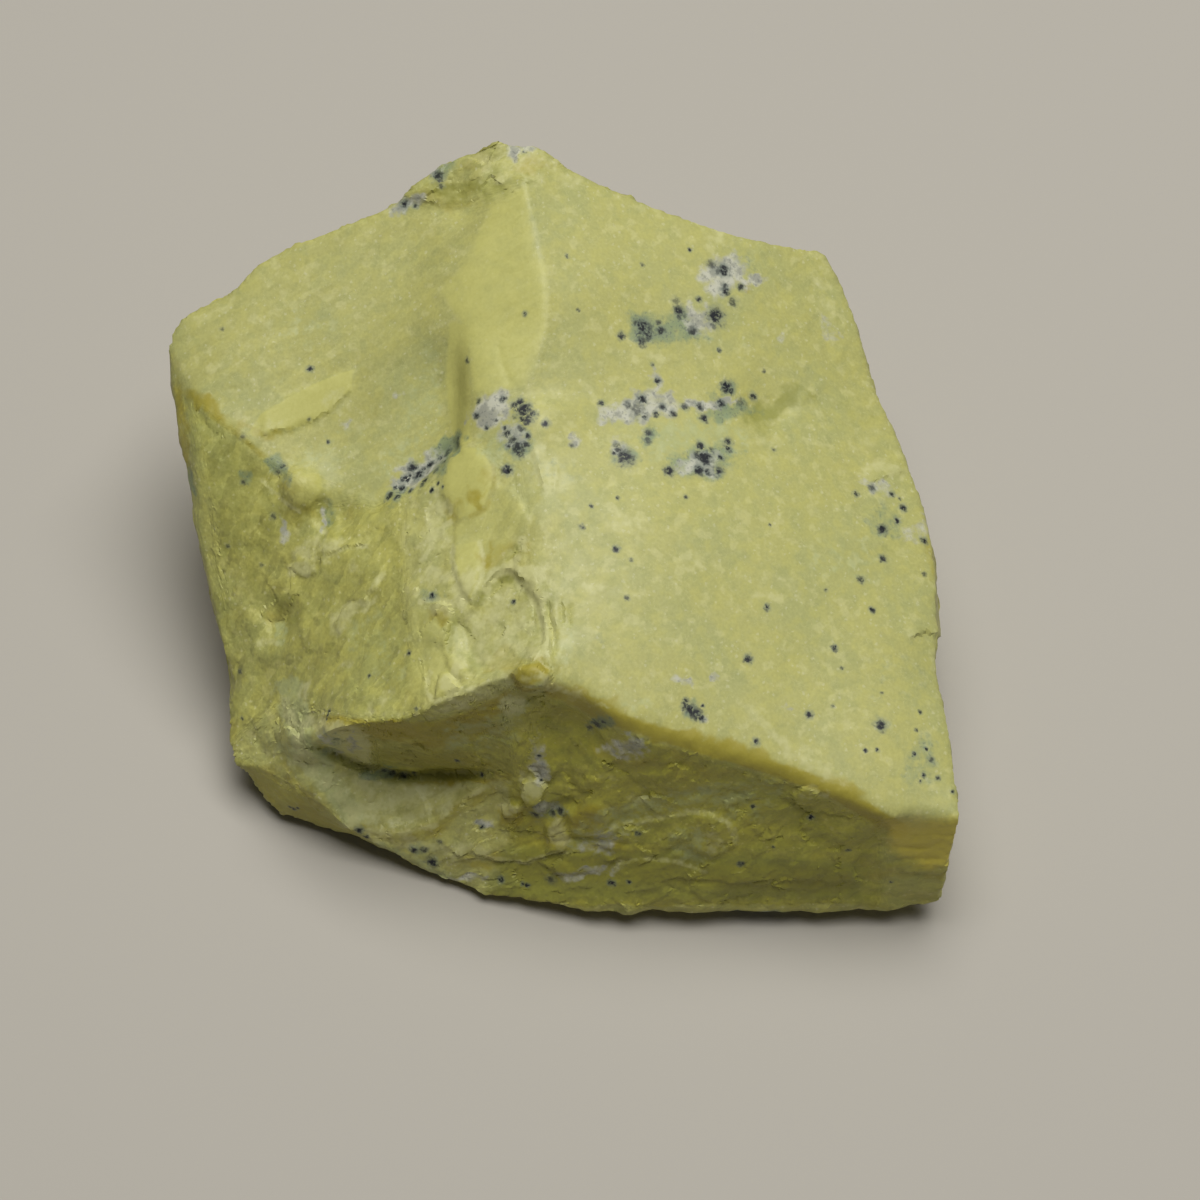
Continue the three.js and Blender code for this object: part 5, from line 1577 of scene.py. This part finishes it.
centre, radius = stored("grain centre", "Vector"), stored("grain radius")
depth = stored("grain depth")
shaken = object_place
for shaker, reach in ((fine, SHAKE), (middle, product(shader, radius, SHAKE_MORE))):
    shift = vector(shader, "SUBTRACT", shaker, HALF_EACH)[0]
    shaken = vector(shader, "ADD", shaken, vector(shader, "SCALE", shift, scale=reach)[0])[0]
at_grain = {"Place": shaken, "Centre": centre, "Radius": radius}
haze = filled(dark_grain, {**at_grain, "Outer": 2.5, "Inner": 0.6})["Mask"]
core = filled(dark_grain, {**at_grain, "Outer": 1.35, "Inner": 0.5})["Mask"]
colour = blend(shader, product(shader, haze, depth, HAZE_SHARE), colour, HAZE)
crumbs = product(
    shader, soft_step(shader, middle_b, *CRUMBLED), soft_step(shader, haze, *CRUMB_REACH))
colour = blend(shader, product(shader, crumbs, depth, CRUMB_SHARE), colour, BLUE_BLACK)
glint = sum_up(shader, "SUBTRACT", 1.0, product(
    shader, soft_step(shader, fine_c, *GLINTING), GLINT_SHARE))
colour = blend(shader, product(shader, core, depth, glint), colour, BLUE_BLACK)
shader.links.new(colour, principled.inputs["Base Color"])
print("nodes of the colour:", len(shader.nodes))

# %% [markdown]
# ## Sheen and tiny facets
#
# The sheen is that of wax: neither wet nor dull, a little different from place to place, and dry on
# the white veins. Each crystal of the felt turns the light its own way. A Bump node would work
# that out from heights, at three times the cost. Adding a small random vector to the normal gives
# the same glitter in one step.

# %% Sheen and tiny facets
WAX, WAX_CHANGE, VEIN_DRYNESS = 0.5, 0.3, 0.2   # roughness, how it varies, what a vein adds
FACET_TILT = 0.28            # how far a crystal turns the light, on splintered faces
FUZZ_LEAST, FUZZ_MORE = 0.08, 0.4   # the same for the fine noise, and what splinters add
SHINE = 0.38                 # how much light the surface mirrors, a little less than is usual

wax = sum_up(shader, "ADD", WAX, product(
    shader, sum_up(shader, "SUBTRACT", soft_c, 0.5), WAX_CHANGE))
wax = sum_up(shader, "ADD", wax, product(shader, masks["white"], VEIN_DRYNESS))
shader.links.new(wax, principled.inputs["Roughness"])
principled.inputs["Specular IOR Level"].default_value = SHINE

smooth_normal = node(shader, "ShaderNodeNewGeometry").outputs["Normal"]
facet = vector(shader, "SCALE", crystals["Luck"], scale=product(shader, splinters, FACET_TILT))[0]
fuzz_reach = sum_up(shader, "ADD", FUZZ_LEAST, product(shader, splinters, FUZZ_MORE))
fuzz = vector(shader, "SUBTRACT", fine, HALF_EACH)[0]
fuzz = vector(shader, "SCALE", fuzz, scale=fuzz_reach)[0]
turned = vector(shader, "ADD", vector(shader, "ADD", smooth_normal, facet)[0], fuzz)[0]
shader.links.new(vector(shader, "NORMALIZE", turned)[0], principled.inputs["Normal"])
print("nodes of the material:", len(shader.nodes))

# %% [markdown]
# ## Floor and light
#
# The floor is a plain pale card, wide enough to fill the frame. Several small lamps would give
# sparkle and also hard shadows. One large softbox above and a little behind the stone lights its
# upper faces, and leaves the front ones in soft shade, which shows the form. A faint white world
# keeps the shade from going black.

# %% Floor
HALF = 0.4                   # half the floor's width, in metres
CARD, CARD_ROUGHNESS = (0.465, 0.435, 0.375, 1), 0.9

floor_mesh = bpy.data.meshes.new("floor")
corners = [(-HALF, -HALF, 0), (HALF, -HALF, 0), (HALF, HALF, 0), (-HALF, HALF, 0)]
floor_mesh.from_pydata(corners, [], [(0, 1, 2, 3)])
floor = bpy.data.objects.new("floor", floor_mesh)
bpy.context.scene.collection.objects.link(floor)
floor_material = bpy.data.materials.new("pale card")
floor_material.use_nodes = True
floor_shader = floor_material.node_tree.nodes["Principled BSDF"]
floor_shader.inputs["Base Color"].default_value = CARD
floor_shader.inputs["Roughness"].default_value = CARD_ROUGHNESS
floor_mesh.materials.append(floor_material)
print("floor:", 2 * HALF, "m wide")

# %% Lights
TARGET = Vector((0, 0, 8)) * MM
WORLD_STRENGTH = 0.05


def softbox(name, place, size, power):
    """A square soft light at a place in mm, turned to the stone."""
    light = bpy.data.lights.new(name, "AREA")
    light.size = size * MM
    light.energy = power
    lamp = bpy.data.objects.new(name, light)
    lamp.location = Vector(place) * MM
    lamp.rotation_euler = (TARGET - lamp.location).to_track_quat("-Z", "Y").to_euler()
    bpy.context.scene.collection.objects.link(lamp)
    return lamp


overhead = softbox("overhead softbox", place=(25, 40, 312), size=220, power=1.07)
world = bpy.data.worlds.new("studio")
world.use_nodes = True
background = world.node_tree.nodes["Background"].inputs
background["Color"].default_value = (1, 1, 1, 1)
background["Strength"].default_value = WORLD_STRENGTH
bpy.context.scene.world = world
bpy.context.scene.view_settings.view_transform = "Standard"
print("softbox:", round((overhead.location - TARGET).length / MM), "mm from the stone")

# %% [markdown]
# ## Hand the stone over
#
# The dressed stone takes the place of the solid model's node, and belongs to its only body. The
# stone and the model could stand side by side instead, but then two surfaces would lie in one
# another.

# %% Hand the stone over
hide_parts("serpentine_rock")
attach(stone, "root")
